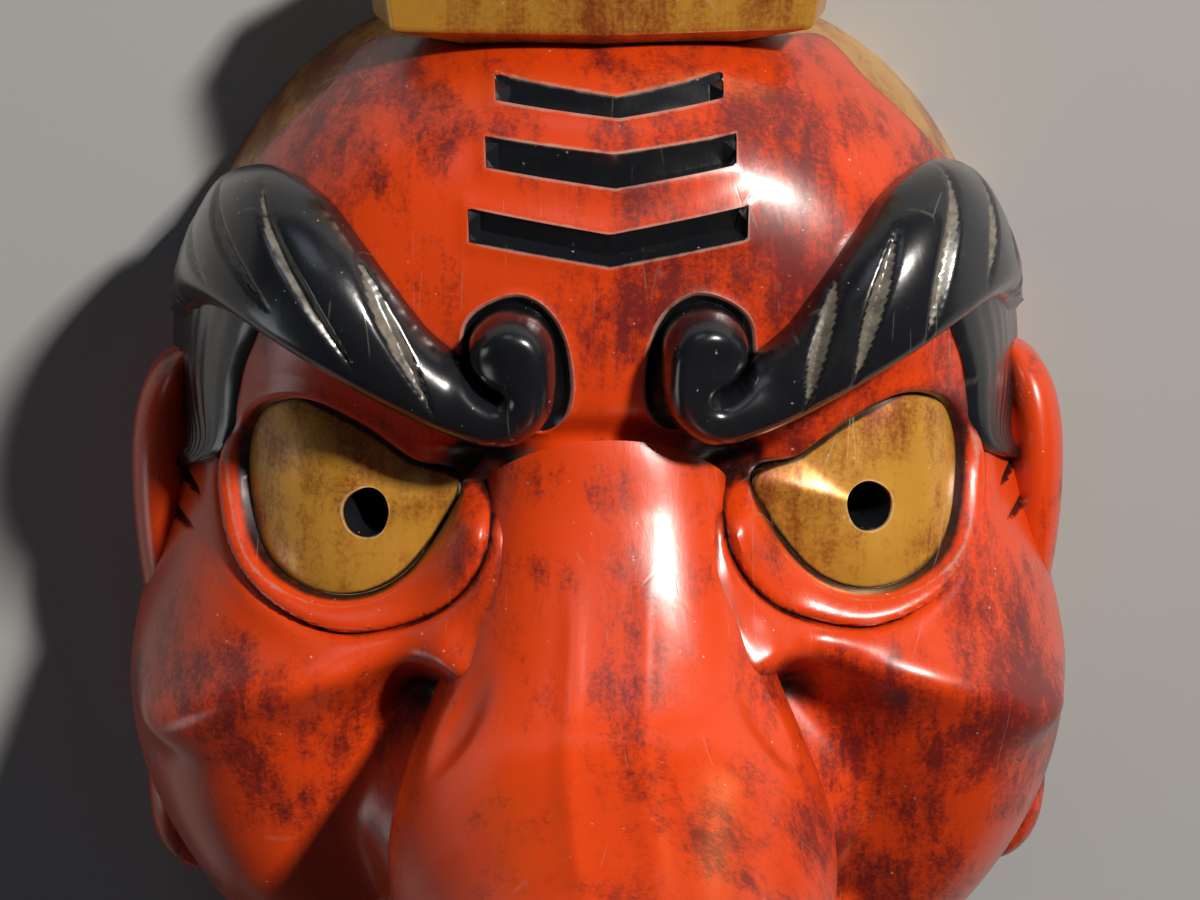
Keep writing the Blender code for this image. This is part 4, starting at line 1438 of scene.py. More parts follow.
    def marks(self, flat: Points) -> tuple[Points, Points]:
        """How rubbed the outside is, and where it gets painted highlights and painted shade, along its own
        lines.

        Args:
            flat: Places on the disc.

        Returns:
            The wear with the painted highlights, and the painted shade.
        """
        angle, share = self.polar(flat)
        x, y = FORM.dome.place(angle, share)[:, :2].T
        ax = np.abs(x)
        eye, crease = loop_distance(ax, y, FORM.eye), line_distance(ax, y, FORM.crease)
        channel = loop_distance(ax, y, FORM.channel)
        hair = line_distance(ax, y, FORM.hairline)
        # A pale line just outside the lower lid's edge: a painted highlight on the lid's rim.
        worn = 0.75 * np.exp(-((eye - 0.9 * MM) / (0.6 * MM)) ** 2) * (y < 0.020)
        worn += 0.6 * np.exp(-((crease - 0.9 * MM) / (0.5 * MM)) ** 2)
        # A pale line round the curl's channel: a painted highlight on its lip.
        worn += 0.9 * np.exp(-((channel - 0.2 * MM) / (0.7 * MM)) ** 2) * (y > 0.031)
        # All dark here is painted shade: in the lid crease, at the eye's edge and at the step down to the
        # gold band.
        dark = 0.75 * np.exp(-(crease / (0.6 * MM)) ** 2) + 0.8 * np.exp(-(eye / (0.5 * MM)) ** 2)
        dark += 0.7 * np.exp(-(hair / (0.9 * MM)) ** 2)
        # Painted shadow of the curl in the hollow beside the nose root.
        dark += 1.1 * bell(ax, y, FORM.root_hollow_at, (0.0100, 0.0062))
        # Painted shade at the top of the cheek fold, beside the nose's wing.
        dark += 0.55 * bell(ax, y, (0.0445, -0.0330), (0.009, 0.006))
        for cut in FORM.cuts:
            edge = loop_distance(ax, y, cut)
            # Painted shade inside the small cuts.
            dark += 0.6 * (edge < -0.2 * MM)
            worn += 0.3 * np.exp(-((edge - 0.1 * MM) / (0.4 * MM)) ** 2)
        for loop, valley in FORM.grooves:
            edge = loop_distance(x, y, loop)
            worn += 0.85 * np.exp(-((edge - 0.25 * MM) / (0.45 * MM)) ** 2)
            # A pale line along each groove's valley: a painted highlight.
            worn += 0.65 * np.exp(-(line_distance(x, y, valley) / (0.3 * MM)) ** 2)
        return worn, dark

    def meet_nose(self, points: Points, corners: Points, nose: bpy.types.Object) -> Points:
        """Raise the outside beside the bridge so that it runs into the nose without a seam.

        Args:
            points: The points of the outside.
            corners: Its triangles.
            nose: The nose as it was built.

        Returns:
            The points, moved where they meet the nose.
        """
        tree = BVHTree.FromPolygons([v.co for v in nose.data.vertices],
                                    [tuple(face.vertices) for face in nose.data.polygons])
        moved = points.copy()
        x, y, z = points.T
        across, low, high = self.nose_zone
        region = (np.abs(x) < across) & (y > low) & (y < high)
        for index in np.where(region)[0]:
            hit = tree.ray_cast((x[index], y[index], 0.3), (0.0, 0.0, -1.0))[0]
            if hit is None:
                side = math.copysign(1.0, x[index])
                hit_side = tree.ray_cast((side * 0.09, y[index], z[index] + 0.001), (-side, 0.0, 0.0))[0]
                if hit_side is None:
                    continue
                gap = abs(x[index] - hit_side.x)
                rise = z[index] - self.nose_slope * gap
            else:
                rise = hit.z
            hold = float(smooth_step(-0.036, -0.024, y[index]) * (1.0 - smooth_step(-0.002, 0.014, y[index])))
            blend = self.nose_blend * hold
            if blend <= 1e-5:
                continue
            near = max(blend - abs(z[index] - rise), 0.0) / blend
            over = max(rise - z[index] - 0.8 * blend, 0.0)
            lift = near * near * blend * 0.25
            if rise > z[index]:
                lift += min(rise - z[index], blend) - 0.3 * MM - 0.2 * over
                lift = max(lift, 0.0)
            moved[index, 2] = z[index] + lift * hold
        rise = moved[:, 2] - points[:, 2]
        edges = edges_of(corners)
        degree = np.maximum(np.bincount(edges[:, 0], minlength=len(rise)), 1)
        for _ in range(self.nose_rounds):
            rise = np.bincount(edges[:, 0], weights=rise[edges[:, 1]], minlength=len(rise)) / degree
        moved[:, 2] = points[:, 2] + rise
        return moved

    def build(self, finishes: Finishes, nose: bpy.types.Object) -> bpy.types.Object:
        """The whole shell as one closed piece.

        Args:
            finishes: All materials.
            nose: The nose as it was built.

        Returns:
            The finished piece.
        """
        flat_out, out_points, out_faces, material = self.outside()
        worn, dark = self.marks(flat_out)
        out_points = self.meet_nose(out_points, out_faces, nose)
        flat_in, in_points, in_faces = self.inside()
        start = len(out_points)
        faces = out_faces.tolist() + (in_faces[:, ::-1] + start).tolist()
        numbers = material.tolist() + [3] * len(in_faces)
        seams = [(self.rim_ends(flat_out), self.rim_ends(flat_in), 1)]
        seams += [(self.bore_ends(flat_out, side), self.bore_ends(flat_in, side), -1) for side in Side]
        for outer, inner, way in seams:
            for k in range(len(outer)):
                after = (k + 1) % len(outer)
                quad = (outer[k], start + inner[k], start + inner[after], outer[after])
                faces.append(quad if way > 0 else quad[::-1])
                numbers.append(3 if way > 0 else 1)
        spare = np.zeros(len(in_points))
        piece = new_piece("face", np.vstack([out_points, in_points]), faces,
                          [finishes.red, finishes.black, finishes.gold, finishes.wood], numbers,
                          worn=np.concatenate([worn, spare]), dark=np.concatenate([dark, spare]))
        settle(piece, Slot.RED)
        return piece


@dataclass
class Eye:
    """One eye: a low gold dome with the drilled pupil."""

    pupil: Pupil = field(default_factory=Pupil)
    edge: float = -0.0022
    bulge: float = 0.0066
    hole_drop: float = 0.45 * MM
    edge_drop: float = 0.3 * MM
    seat: float = -0.0052
    rings: int = 44

    def build(self, side: Side, finishes: Finishes) -> bpy.types.Object:
        """The eye as one closed piece with a hole through it.

        Args:
            side: Which side of the face.
            finishes: All materials.

        Returns:
            The finished piece.
        """
        outline = even_points(outset(FORM.eye, -0.15 * MM), 0.55 * MM, closed=True)
        outline = mirrored(outline, side.value)
        count = len(outline)
        centre = np.array(self.pupil.centre(side))
        turn = np.arctan2(outline[:, 1] - centre[1], outline[:, 0] - centre[0])
        radius = 0.5 * self.pupil.bore * self.pupil.uneven(turn, side)
        hole = centre + radius[:, None] * np.stack([np.cos(turn), np.sin(turn)], axis=1)
        middle = outline.mean(axis=0)
        layers = []
        shares = np.concatenate([[0.0, 0.012], np.linspace(0.05, 0.95, self.rings), [0.985, 1.0]])
        far = np.max(np.hypot(*(outline - middle).T))
        for share in shares:
            plan = hole + (outline - hole) * share
            out = np.hypot(*(plan - middle).T) / np.maximum(np.hypot(*(outline - middle).T), 0.2 * far)
            lift = self.edge + self.bulge * (1.0 - np.minimum(out, 1.0) ** 2)
            if share == 0.0:
                lift = lift - self.hole_drop
            if share == 1.0:
                lift = lift - self.edge_drop
            layers.append(FORM.over(plan, lift))
        layers.append(FORM.over(outline, np.full(count, self.seat)))
        layers.append(FORM.over(hole, np.full(count, self.seat)))
        points = np.vstack(layers)
        faces = []
        total = len(layers)
        for ring in range(total):
            low, high = ring * count, ((ring + 1) % total) * count
            for k in range(count):
                after = (k + 1) % count
                faces.append((low + k, high + k, high + after, low + after))
        faces = turned(faces, side is Side.RIGHT)
        reach = [loop_distance(np.abs(layer[:, 0]), layer[:, 1], FORM.eye) for layer in layers]
        reach = np.array(reach).ravel()
        # Painted shade at the eye's edge where it sinks into the lids, and a fainter band just inside it.
        dark = 0.85 * np.exp(-(reach / (0.7 * MM)) ** 2)
        dark = dark + 0.30 * np.exp(-((reach + 2.2 * MM) / (1.8 * MM)) ** 2)
        numbers = [1 if face[0] >= (total - 1) * count else 0 for face in faces]
        piece = new_piece(f"eye_{side.name.lower()}", points, faces, [finishes.gold, finishes.black], numbers,
                          dark=dark)
        settle(piece, Slot.GOLD)
        return piece


@dataclass
class Brow:
    """One brow with the curl at its inner end, cut by slanting gouges."""

    rise: float = 0.0142
    end_rise: float = 0.0105
    edge: float = 0.0006
    low_width: float = 0.0042
    high_width: float = 0.0130
    seat: float = 0.0045
    gap: float = 0.58 * MM
    gouge_width: float = 1.9 * MM
    gouge_depth: float = 2.0 * MM
    gouge_steps: int = 20
    end_zone: tuple = (62 * MM, 90 * MM)
    hold_zone: tuple = (0.6 * MM, 2.2 * MM)
    crisp: float = 50.0
    rounds: int = 14

    def __post_init__(self) -> None:
        """Lay out the outline and the gouges."""
        ball = mm((23.6, 38.9), (27.0, 41.2), (29.5, 46.0), (28.7, 51.6), (25.0, 55.6), (20.0, 56.9),
                  (14.8, 55.2), (11.6, 50.8), (10.8, 45.4), (10.8, 40.0), (11.9, 34.6), (15.0, 30.2),
                  (19.5, 27.2), (25.0, 26.4), (31.0, 27.6), (38.5, 30.2), (50.0, 36.2), (60.0, 42.2),
                  (69.0, 47.0), (77.0, 49.0), (84.5, 47.4), (89.5, 43.0), (93.2, 37.5))
        top = mm((94.4, 42.0), (92.6, 50.0), (87.6, 61.0), (80.0, 71.8), (69.0, 78.2), (59.0, 76.4),
                 (51.5, 69.0), (44.6, 60.2), (38.0, 51.6), (31.2, 45.6))
        ball, top = smooth_curve(ball, 460), smooth_curve(top, 200)
        self.upper = top
        slit = smooth_curve(mm((31.2, 45.6), (28.8, 42.1), (26.1, 39.95), (23.6, 38.9)), 14)[1:-1]
        self.outline = even_points(np.vstack([ball, top, slit]), 0.6 * MM, closed=True)
        right = (((47.4, 63.2), (43.0, 49.0), (40.2, 34.4)), ((56.6, 70.6), (52.0, 55.0), (49.4, 39.2)),
                 ((67.2, 77.0), (63.6, 62.0), (61.8, 47.0)), ((78.4, 74.0), (75.2, 64.0), (73.2, 53.6)),
                 ((86.6, 64.0), (84.6, 58.5), (83.8, 52.6)), ((90.6, 55.0), (89.4, 50.5), (88.8, 45.5)))
        left = (((51.0, 67.0), (44.0, 52.0), (36.2, 35.4)), ((66.6, 75.6), (59.6, 61.0), (50.4, 43.6)),
                ((78.6, 72.0), (72.6, 64.0), (64.4, 54.0)), ((87.6, 61.0), (83.4, 58.6), (76.8, 54.6)),
                ((92.0, 52.0), (90.6, 51.2), (88.6, 49.6)))
        self.gouges = {Side.RIGHT: tuple(mm(*line) for line in right),
                       Side.LEFT: tuple(mm(*line) for line in left)}

    def lifts(self, plan: Points, corners: Points, side: Side) -> Points:
        """Height of the brow at each of its points.

        Args:
            plan: Its points in plan, on the right side.
            corners: Its triangles.
            side: Which side of the face.

        Returns:
            A height over the broad face for each point.
        """
        x, y = plan.T
        inside = line_distance(x, y, np.vstack([self.outline, self.outline[:1]]))
        above = line_distance(x, y, self.upper)
        rest = np.where(inside < above - RIM_SLACK, inside, self.low_width)
        low_share = np.where(inside < above - RIM_SLACK, rest / self.low_width, 1.0)
        share = np.minimum(above / self.high_width, low_share)
        share = np.clip(share, 0.0, 1.0)
        crest = self.rise + (self.end_rise - self.rise) * smooth_step(*self.end_zone, x)
        lift = self.edge + (crest - self.edge) * np.sqrt(1.0 - (1.0 - share) ** 2)
        edges = edges_of(corners)
        a, b = edges.T
        degree = np.maximum(np.bincount(a, minlength=len(plan)), 1)
        hold = 1.0 - smooth_step(*self.hold_zone, inside)
        for _ in range(self.rounds):
            mean = np.bincount(a, weights=lift[b], minlength=len(plan)) / degree
            lift = lift * hold + (0.3 * lift + 0.7 * mean) * (1.0 - hold)
        cut = self.cut(x, y, side)
        return lift - self.gouge_depth * cut

    def cut(self, x: Points, y: Points, side: Side) -> Points:
        """How deep each place lies in a gouge, from 0 at its edge to 1 at its middle.

        Args:
            x: Places in plan, across the face.
            y: Places in plan, towards the crown.
            side: Which side of the face.

        Returns:
            A share for each place.
        """
        deepest = np.zeros(len(x))
        for line in self.gouges[side]:
            path = smooth_curve(line, self.gouge_steps)
            away = np.hypot(x[:, None] - path[None, :, 0], y[:, None] - path[None, :, 1])
            place = np.argmin(away, axis=1) / self.gouge_steps
            half = self.gouge_width * np.sin(math.pi * np.clip(place, 0.02, 0.98)) ** 0.7
            depth = np.clip(1.0 - line_distance(x, y, path) / half, 0.0, 1.0) * (half / self.gouge_width)
            deepest = np.maximum(deepest, depth)
        return deepest

    def marks(self, plan: Points, side: Side) -> tuple[Points, Points]:
        """How rubbed the gouges and the edge are, and how much painted shade the brow's foot gets.

        Args:
            plan: Its points in plan, on the right side.
            side: Which side of the face.

        Returns:
            The wear, and the painted shade.
        """
        x, y = plan.T
        worn = 0.95 * smooth_step(0.08, 0.40, self.cut(x, y, side))
        inside = line_distance(x, y, np.vstack([self.outline, self.outline[:1]]))
        worn += 0.35 * np.exp(-((inside - 1.2 * MM) / (0.8 * MM)) ** 2)
        # The dark along the outline is painted shade where the brow stands on the face.
        return worn, 0.7 * np.exp(-(inside / (0.9 * MM)) ** 2)

    def build(self, side: Side, finishes: Finishes) -> bpy.types.Object:
        """The brow as one closed piece.

        Args:
            side: Which side of the face.
            finishes: All materials.

        Returns:
            The finished piece.
        """
        loop = self.outline
        low, high = loop.min(axis=0), loop.max(axis=0)
        loose = hex_points(low, high, self.gap)
        loose = loose[inside_loop(loose[:, 0], loose[:, 1], loop)]
        rings = [even_points(outset(loop, -0.35 * MM), self.gap, closed=True)]
        plan, corners = triangulate([loop] + rings, [], loose, 0.5 * self.gap)
        middle = plan[corners].mean(axis=1)
        corners = corners[inside_loop(middle[:, 0], middle[:, 1], loop)]
        lift = self.lifts(plan, corners, side)
        plan = mirrored(plan, side.value)
        top = FORM.over(plan, lift)
        bottom = FORM.over(plan, np.full(len(plan), -self.seat))
        start = len(top)
        faces = corners.tolist() + (corners[:, ::-1] + start).tolist()
        edges = set(map(tuple, edges_of(corners).tolist()))
        for a, b in sorted(edge for edge in edges if edge[::-1] not in edges):
            faces.append((b, a, start + a, start + b))
        faces = turned(faces, side is Side.LEFT)
        worn, dark = self.marks(mirrored(plan, side.value), side)
        spare = np.zeros(len(plan))
        piece = new_piece(f"brow_{side.name.lower()}", np.vstack([top, bottom]), faces, [finishes.black],
                          crisp=self.crisp, worn=np.concatenate([worn, spare]),
                          dark=np.concatenate([dark, spare]))
        settle(piece, Slot.BLACK)
        return piece


@dataclass
class Sidelock:
    """The black lock of hair in front of an ear."""

    rise: float = 0.0028
    seat: float = 0.004
    back: float = 0.945
    rows: int = 90
    columns: int = 36
    scallop: float = 0.002
    scallops: float = 6.0
    strand: float = 0.25 * MM
    strands: float = 9.0
    edge: float = 0.4 * MM

    def build(self, side: Side, finishes: Finishes) -> bpy.types.Object:
        """The lock as one closed piece.

        Args:
            side: Which side of the face.
            finishes: All materials.

        Returns:
            The finished piece.
        """
        front = smooth_curve(mm((75.5, 48.5), (78.4, 43.0), (81.4, 37.4), (83.8, 31.0), (85.4, 21.5),
                                (88.0, 14.0), (95.6, 4.6)), self.rows - 1)
        angle, share = FORM.dome.find(front[:, 0], front[:, 1])
        along = np.linspace(0.0, 1.0, self.rows)
        scallop = self.scallop * np.abs(np.sin(along * math.pi * self.scallops)) * (1.0 - along)
        back = share + (self.back + scallop - share) * (1.0 - 0.85 * smooth_step(0.55, 1.0, along))
        across = np.linspace(0.0, 1.0, self.columns)
        shares = share[:, None] + (back - share)[:, None] * across[None, :]
        angles = np.repeat(angle[:, None], self.columns, axis=1)
        roundness = np.sqrt(np.clip(1.0 - (2.0 * across - 1.0) ** 8, 0.0, 1.0))[None, :]
        strands = self.strand * np.sin(across * math.pi * self.strands)[None, :] ** 2
        lift = self.edge + (self.rise - self.edge) * roundness - strands * roundness
        top = FORM.point(angles, shares, lift)
        bottom = FORM.point(angles, shares, np.full(lift.shape, -self.seat))
        points = np.vstack([top.reshape(-1, 3), bottom.reshape(-1, 3)])
        points[:, 0] *= side.value
        faces = turned(sheet_faces(*top.shape[:2]), side is Side.LEFT)
        piece = new_piece(f"sidelock_{side.name.lower()}", points, faces, [finishes.black])
        settle(piece, Slot.BLACK)
        return piece


@dataclass
class Ear:
    """One long-lobed ear standing off the side of the face."""

    top_y: float = 0.030
    bottom_y: float = -0.100
    middle_z: float = 0.027
    seat: float = 0.0925
    reach: float = 0.1085
    waist_reach: float = 0.1040
    top_breadth: float = 0.034
    lobe_breadth: float = 0.019
    shell_depth: float = 3.0 * MM
    lobe_depth: float = 1.2 * MM
    rows: int = 150
    sides: int = 72

    def build(self, side: Side, finishes: Finishes) -> bpy.types.Object:
        """The ear as one closed piece, with its rim and the hollow inside the rim.

        Args:
            side: Which side of the face.
            finishes: All materials.

        Returns:
            The finished piece.
        """
        share = np.linspace(0.0, 1.0, self.rows)[:, None]
        angle = (2 * math.pi * np.arange(self.sides) / self.sides)[None, :]
        y = self.top_y + (self.bottom_y - self.top_y) * share
        ends = np.sqrt(np.maximum(1.0 - (2 * share - 1) ** 6, 0.002))
        waist = np.exp(-((share - 0.58) / 0.20) ** 2)
        reach = self.seat + (self.reach - (self.reach - self.waist_reach) * waist - self.seat) * ends
        breadth = self.top_breadth + (self.lobe_breadth - self.top_breadth) * smooth_step(0.2, 0.8, share)
        x = 0.5 * (self.seat + reach) + 0.5 * (reach - self.seat) * np.cos(angle)
        z = self.middle_z + 0.5 * breadth * ends * np.sin(angle)
        outward = np.clip(np.cos(angle), 0.0, 1.0) ** 2
        shell = np.exp(-((np.sin(angle) + 0.05) / 0.42) ** 2) * np.exp(-((share - 0.25) / 0.17) ** 2)
        lobe = np.exp(-(np.sin(angle) / 0.35) ** 2) * np.exp(-((share - 0.84) / 0.07) ** 2)
        x = x - outward * (self.shell_depth * shell + self.lobe_depth * lobe)
        points = np.stack([x * side.value, np.broadcast_to(y, x.shape), z], axis=-1).reshape(-1, 3)
        first = points[:self.sides].mean(axis=0)
        last = points[-self.sides:].mean(axis=0)
        points = np.vstack([points, first, last])
        faces = turned(tube_faces(self.rows, self.sides), side is Side.LEFT)
        piece = new_piece(f"ear_{side.name.lower()}", points, faces, [finishes.red])
        settle(piece, Slot.RED)
        return piece


@dataclass
class Nose:
    """The long nose, with a flat ridge, broad wings and two nostrils.

    Each station gives, in millimetres and degrees, the y and z of its middle, how far its cut leans back,
    half its width, and its height above and below the middle. The ridges give height, place across and width,
    and they, the drift, the petals, the arch and the tip are in millimetres too. The nostrils are in metres.
    """

    stations: tuple = (
        (11.5, 76.0, 54.0, 26.5, 21.0, 12.0), (1.0, 80.5, 54.0, 28.0, 22.5, 17.0),
        (-15.0, 84.0, 52.0, 30.5, 26.0, 20.0), (-33.0, 92.0, 48.0, 39.0, 31.0, 26.0),
        (-48.0, 104.0, 38.0, 46.5, 32.0, 30.0), (-57.0, 120.0, 22.0, 48.5, 30.5, 29.0),
        (-60.0, 142.0, 8.0, 45.5, 30.5, 28.0), (-60.0, 170.0, 0.0, 41.0, 29.0, 27.0),
        (-60.0, 198.0, 0.0, 36.0, 28.0, 26.5), (-60.5, 218.0, 0.0, 30.0, 25.0, 24.0),
        (-61.0, 231.0, 0.0, 21.0, 18.5, 18.0), (-61.5, 238.0, 0.0, 10.0, 9.0, 9.0))
    power: float = 2.4
    tent_drop: float = 0.85
    tent_start: tuple = (0.14, 0.30)
    ridges: tuple = ((0.9, 6.5, 2.6), (0.8, -9.0, 2.4))
    drift: float = 1.2
    petal_depth: float = 2.2
    root_arch: float = 3.6
    arch_end: float = 0.1
    tip_rise: float = 2.0
    smoothing: int = 300
    sides: int = 240
    rings: int = 220
    nostril_at: tuple = (0.0200, -0.0915, 0.1170)
    nostril_radius: tuple = (0.0090, 0.0100, 0.0110)
    nostril_under: float = 0.018
    nostril_depth: float = 0.012

    def build(self, finishes: Finishes) -> bpy.types.Object:
        """The nose as one closed piece.

        Args:
            finishes: All materials.

        Returns:
            The finished piece.
        """
        rows = smooth_curve(np.array(self.stations), self.rings - 1)
        for _ in range(self.smoothing):
            rows[1:-1] = 0.5 * rows[1:-1] + 0.25 * (rows[2:] + rows[:-2])
        y, z, lean, width, upwards, downwards = (rows[:, k:k + 1] for k in range(6))
        angle = (2 * math.pi * np.arange(self.sides) / self.sides)[None, :]
        c, s = np.cos(angle), np.sin(angle)
        across = np.sign(c) * np.abs(c) ** (2.0 / self.power) * width
        along = np.linspace(0.0, 1.0, self.rings)[:, None]
        bridge = smooth_step(*self.tent_start, along)
        tent = self.power - self.tent_drop * bridge * (1.0 - smooth_step(0.55, 0.8, along))
        rise = np.where(s > 0, np.abs(s) ** (2.0 / tent) * upwards,
                        -np.abs(s) ** (2.0 / self.power) * downwards)
        drift = self.drift * np.sin(9.0 * along)
        ridge = sum(high * np.exp(-((across - at - drift) / wide) ** 2) for high, at, wide in self.ridges)
        rise = rise + ridge * (s > 0) * bridge * (1.0 - smooth_step(0.6, 0.85, along))
        petal = np.hypot((np.abs(across) - 31.0 - 60.0 * (along - 0.33)) / 6.5, (along - 0.345) / 0.085)
        rise = rise - self.petal_depth * (1.0 - smooth_step(0.15, 1.0, petal)) * (s > 0)
        lean = np.radians(lean)
        arch = self.root_arch * (1.0 - (across / width) ** 2) * (s > 0) * s
        arch = arch * (1.0 - smooth_step(0.0, self.arch_end, along))
        points = np.stack([across, y + arch + np.cos(lean) * rise, z + np.sin(lean) * rise], axis=-1)
        points = points.reshape(-1, 3)
        tip = points[-self.sides:].mean(axis=0) + np.array([0.0, 0.0, self.tip_rise])
        points = np.vstack([points, points[:self.sides].mean(axis=0), tip]) * MM
        dark = self.sink_nostrils(points)
        faces = tube_faces(self.rings, self.sides)
        piece = new_piece("nose", points, faces, [finishes.red], dark=dark)
        settle(piece, Slot.RED)
        return piece

    def sink_nostrils(self, points: Points) -> Points:
        """Press the two nostrils into the underside, and give each point its painted shade in them.

        Args:
            points: The nose's points, which are moved.

        Returns:
            A share for each point.
        """
        dark = np.zeros(len(points))
        for side in Side:
            x = (points[:, 0] - side.value * self.nostril_at[0]) / self.nostril_radius[0]
            z = (points[:, 2] - self.nostril_at[2]) / self.nostril_radius[2]
            under = points[:, 1] < self.nostril_at[1] + self.nostril_under
            room = np.sqrt(np.clip(1.0 - x * x - z * z, 0.0, 1.0)) * under
            points[:, 1] += self.nostril_depth * room
            # Painted shade, deepest inside the nostrils.
            dark = np.maximum(dark, room)
        return dark


@dataclass
class Cap:
    """The faceted gold cap above the forehead, its outline and heights in millimetres."""

    outline: tuple = ((0.0, 63.0), (45.5, 57.0), (49.5, 40.0), (34.0, 18.0))
    seat_y: float = 104.5
    base_y: float = 108.5
    shoulder_y: float = 130.0
    top_y: float = 142.0
    flare: float = 1.06
    seat_share: float = 0.65
    bevel: float = 1.1 * MM

    def build(self, finishes: Finishes) -> bpy.types.Object:
        """The cap, extruded from its outline and softened along its edges.

        Args:
            finishes: All materials.

        Returns:
            The finished piece.
        """
        half = list(self.outline)
        outline = half + [(-x, z) for x, z in reversed(half[1:])]
        middle_z = 0.5 * (half[0][1] + half[-1][1])
        rows = []
        for y, flare in ((self.seat_y, self.seat_share), (self.base_y, 1.0), (self.shoulder_y, self.flare)):
            rows += [(x * flare, y, middle_z + (z - middle_z) * flare) for x, z in outline]
        rows.append((0.0, self.top_y, middle_z))
        count = len(outline)
        faces = [tuple(reversed(range(count)))]
        for ring in range(2):
            for k in range(count):
                after = (k + 1) % count
                faces.append((ring * count + k, ring * count + after, (ring + 1) * count + after,
                              (ring + 1) * count + k))
        faces += [(2 * count + k, 2 * count + (k + 1) % count, 3 * count) for k in range(count)]
        piece = new_piece("cap", np.array(rows) * MM, faces, [finishes.gold])
        deselect()
        piece.select_set(True)
        bpy.context.view_layer.objects.active = piece
        bpy.ops.object.mode_set(mode="EDIT")
        bpy.ops.mesh.select_all(action="SELECT")
        bpy.ops.mesh.normals_make_consistent(inside=False)
        bpy.ops.object.mode_set(mode="OBJECT")
        soften = piece.modifiers.new("soften", "BEVEL")
        soften.width = self.bevel
        soften.segments = 4
        bpy.ops.object.modifier_apply(modifier="soften")
        fine = piece.modifiers.new("fine", "SUBSURF")
        fine.subdivision_type = "SIMPLE"
        fine.levels = fine.render_levels = 4
        bpy.ops.object.modifier_apply(modifier="fine")
        dress_edges(piece)
        settle(piece, Slot.GOLD)
        return piece


@dataclass
class Lips:
    """The two lips of the closed mouth, whose line is in millimetres."""

    mouth: tuple = ((0.0, -101.0), (18.0, -102.0), (36.0, -110.0))
    width: float = 0.0088
    rise: float = 0.0056
    seat: float = 0.003
    rows: int = 120
    columns: int = 30

    def build(self, upwards: int, finishes: Finishes) -> bpy.types.Object:
        """One lip as a closed piece.

        Args:
            upwards: 1 for the upper lip and -1 for the lower one.
            finishes: All materials.

        Returns:
            The finished piece.
        """
        half = smooth_curve(mm(*self.mouth), self.rows // 2)
        middle = np.vstack([half[:0:-1] * np.array([-1.0, 1.0]), half])
        count = len(middle)
        along = np.abs(np.linspace(-1.0, 1.0, count))[:, None]
        across = np.linspace(0.0, 1.0, self.columns)[None, :]
        width = self.width * np.sqrt(np.maximum(1.0 - along ** 4, 0.06))
        plan = np.stack([np.repeat(middle[:, :1], self.columns, axis=1),
                         middle[:, 1:2] + upwards * across * width], axis=-1)
        lift = self.rise * np.sqrt(np.maximum(1.0 - (2 * across - 1) ** 2, 0.0)) * (1.0 - 0.7 * along ** 3)
        lift = lift + FORM.muzzle_rise * bell(plan[..., 0], plan[..., 1], FORM.muzzle_at, FORM.muzzle_reach)
        top = FORM.over(plan, lift)
        bottom = FORM.over(plan, np.full(lift.shape, -self.seat))
        points = np.vstack([top.reshape(-1, 3), bottom.reshape(-1, 3)])
        faces = turned(sheet_faces(count, self.columns), upwards < 0)
        piece = new_piece("lip_upper" if upwards > 0 else "lip_lower", points, faces, [finishes.red])
        settle(piece, Slot.RED)
        return piece


@dataclass(frozen=True)
class Lamp:
    """One soft lamp of the studio."""

    name: str
    place: tuple
    power: float
    size: float
    colour: tuple


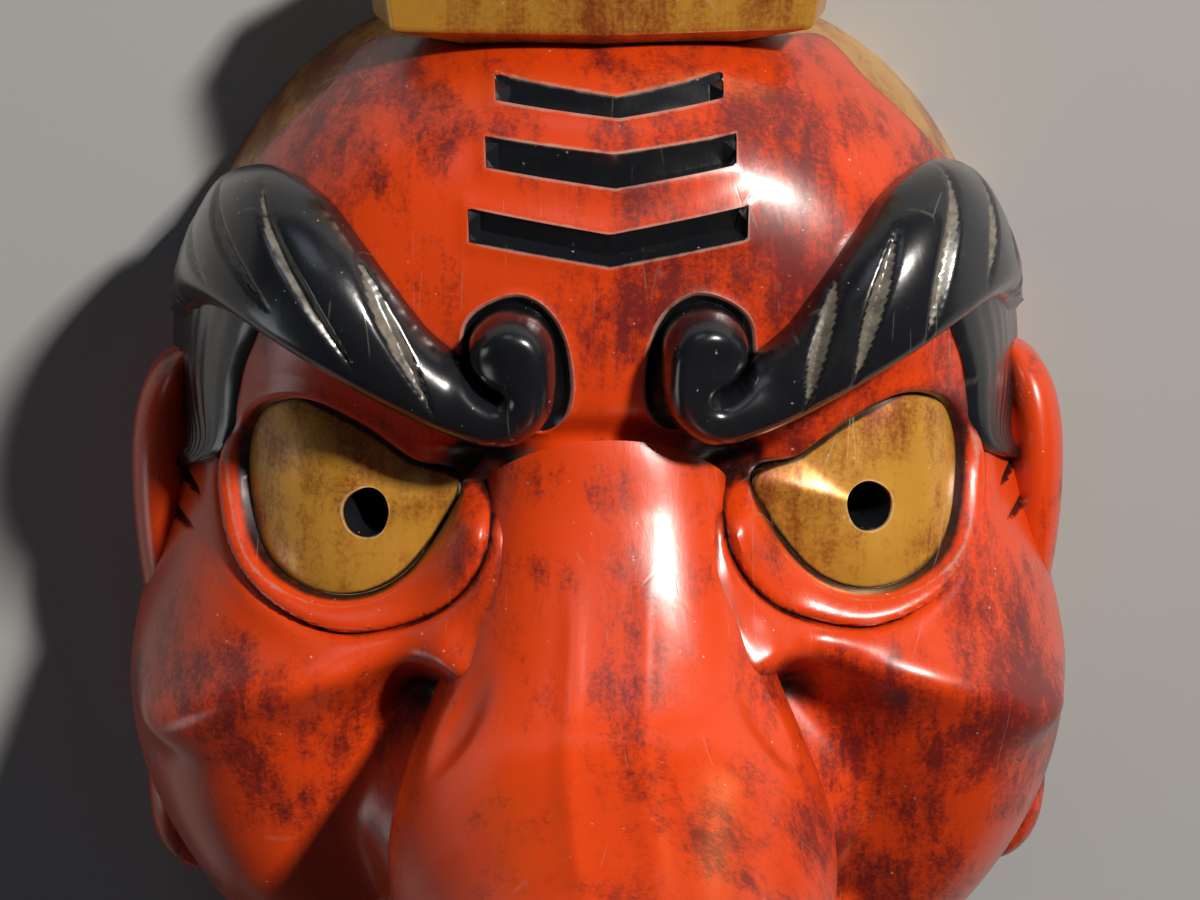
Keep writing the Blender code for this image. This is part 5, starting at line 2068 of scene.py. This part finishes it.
@dataclass(frozen=True)
class Studio:
    """Camera, soft lights and the plain floor."""

    lamps: tuple = (
        Lamp("key_light", (1.20, 1.42, 1.66), 86.0, 0.22, (1.0, 0.95, 0.88)),
        Lamp("sky_light", (-0.5, 2.0, 1.1), 2.8, 0.9, (0.70, 0.84, 1.0)),
        Lamp("edge_light", (-1.7, -0.6, 0.30), 2.6, 0.7, (0.95, 0.98, 1.0)))
    lit_point: tuple = (0.0, 0.0, 0.08)
    sky: tuple = (0.80, 0.86, 0.95, 1.0)
    sky_strength: float = 0.035
    target: tuple = (0.0, 0.025, 0.092)
    distance: float = 0.8
    pitch: float = 18.0
    yaw: float = 2.0
    lens: float = 112.8
    image_width: float = 1200.0
    centre_x: float = 608.0
    floor_size: float = 8.0
    floor_grey: float = 0.34
    floor_roughness: float = 0.9

    def place_camera(self) -> None:
        """The camera that looks down on the lying mask."""
        pitch, yaw = math.radians(self.pitch), math.radians(self.yaw)
        back = Vector((-math.sin(yaw) * math.cos(pitch), math.sin(pitch), math.cos(yaw) * math.cos(pitch)))
        right = Vector((math.cos(yaw), 0.0, math.sin(yaw)))
        up = back.cross(right)
        data = bpy.data.cameras.new("camera")
        data.sensor_width = 36.0
        data.lens = self.lens
        data.shift_x = -(self.centre_x - 0.5 * self.image_width) / self.image_width
        data.clip_end = 20.0
        camera = bpy.data.objects.new("camera", data)
        bpy.context.scene.collection.objects.link(camera)
        place = Vector(self.target) + back * self.distance
        camera.matrix_world = Matrix((
            (right.x, up.x, back.x, place.x), (right.y, up.y, back.y, place.y),
            (right.z, up.z, back.z, place.z), (0.0, 0.0, 0.0, 1.0)))
        bpy.context.scene.camera = camera

    def hang(self, lamp: Lamp) -> None:
        """Hang one lamp, turned towards the mask.

        Args:
            lamp: Its place, power, size and colour.
        """
        data = bpy.data.lights.new(lamp.name, "AREA")
        data.energy = lamp.power
        data.size = lamp.size
        data.color = lamp.colour
        light = bpy.data.objects.new(lamp.name, data)
        light.location = lamp.place
        towards = Vector(self.lit_point) - Vector(lamp.place)
        light.rotation_euler = towards.to_track_quat("-Z", "Y").to_euler()
        bpy.context.scene.collection.objects.link(light)

    def build(self) -> None:
        """Set up the whole studio."""
        self.place_camera()
        for lamp in self.lamps:
            self.hang(lamp)
        world = bpy.data.worlds.new("studio")
        bpy.context.scene.world = world
        world.use_nodes = True
        background = world.node_tree.nodes["Background"]
        background.inputs["Color"].default_value = self.sky
        background.inputs["Strength"].default_value = self.sky_strength
        bpy.context.scene.view_settings.view_transform = "Standard"
        deselect()
        bpy.ops.mesh.primitive_plane_add(size=self.floor_size, location=(0.0, 0.0, 0.0))
        floor = bpy.context.object
        floor.name = "floor"
        material = bpy.data.materials.new("pale_floor")
        material.use_nodes = True
        shader = material.node_tree.nodes["Principled BSDF"]
        shader.inputs["Base Color"].default_value = (*[self.floor_grey] * 3, 1.0)
        shader.inputs["Roughness"].default_value = self.floor_roughness
        floor.data.materials.append(material)


@dataclass(frozen=True)
class ContactShade:
    """How far and how strongly painted shade darkens a piece where another one stands on it."""

    reach: float
    strength: float


FACE_CONTACT_SHADE = ContactShade(1.6 * MM, 0.7)
PIECE_CONTACT_SHADE = ContactShade(1.2 * MM, 0.6)


def main() -> None:
    """Build every piece, then the studio."""
    logging.basicConfig(level=logging.INFO, format="%(name)s: %(message)s")
    finishes = Finishes()
    nose = Nose().build(finishes)
    face = FaceShell().build(finishes, nose)
    beside = [nose, Cap().build(finishes)]
    for side in Side:
        beside.append(Eye().build(side, finishes))
        beside.append(Brow().build(side, finishes))
        beside.append(Sidelock().build(side, finishes))
        beside.append(Ear().build(side, finishes))
    for upwards in (1, -1):
        beside.append(Lips().build(upwards, finishes))
    # Painted shade where pieces meet, on the face and on each piece beside it.
    paint_shade_where_pieces_meet(face, beside, FACE_CONTACT_SHADE.reach, FACE_CONTACT_SHADE.strength)
    for piece in beside:
        paint_shade_where_pieces_meet(piece, [face], PIECE_CONTACT_SHADE.reach, PIECE_CONTACT_SHADE.strength)
    Studio().build()


if __name__ == "__main__":
    main()
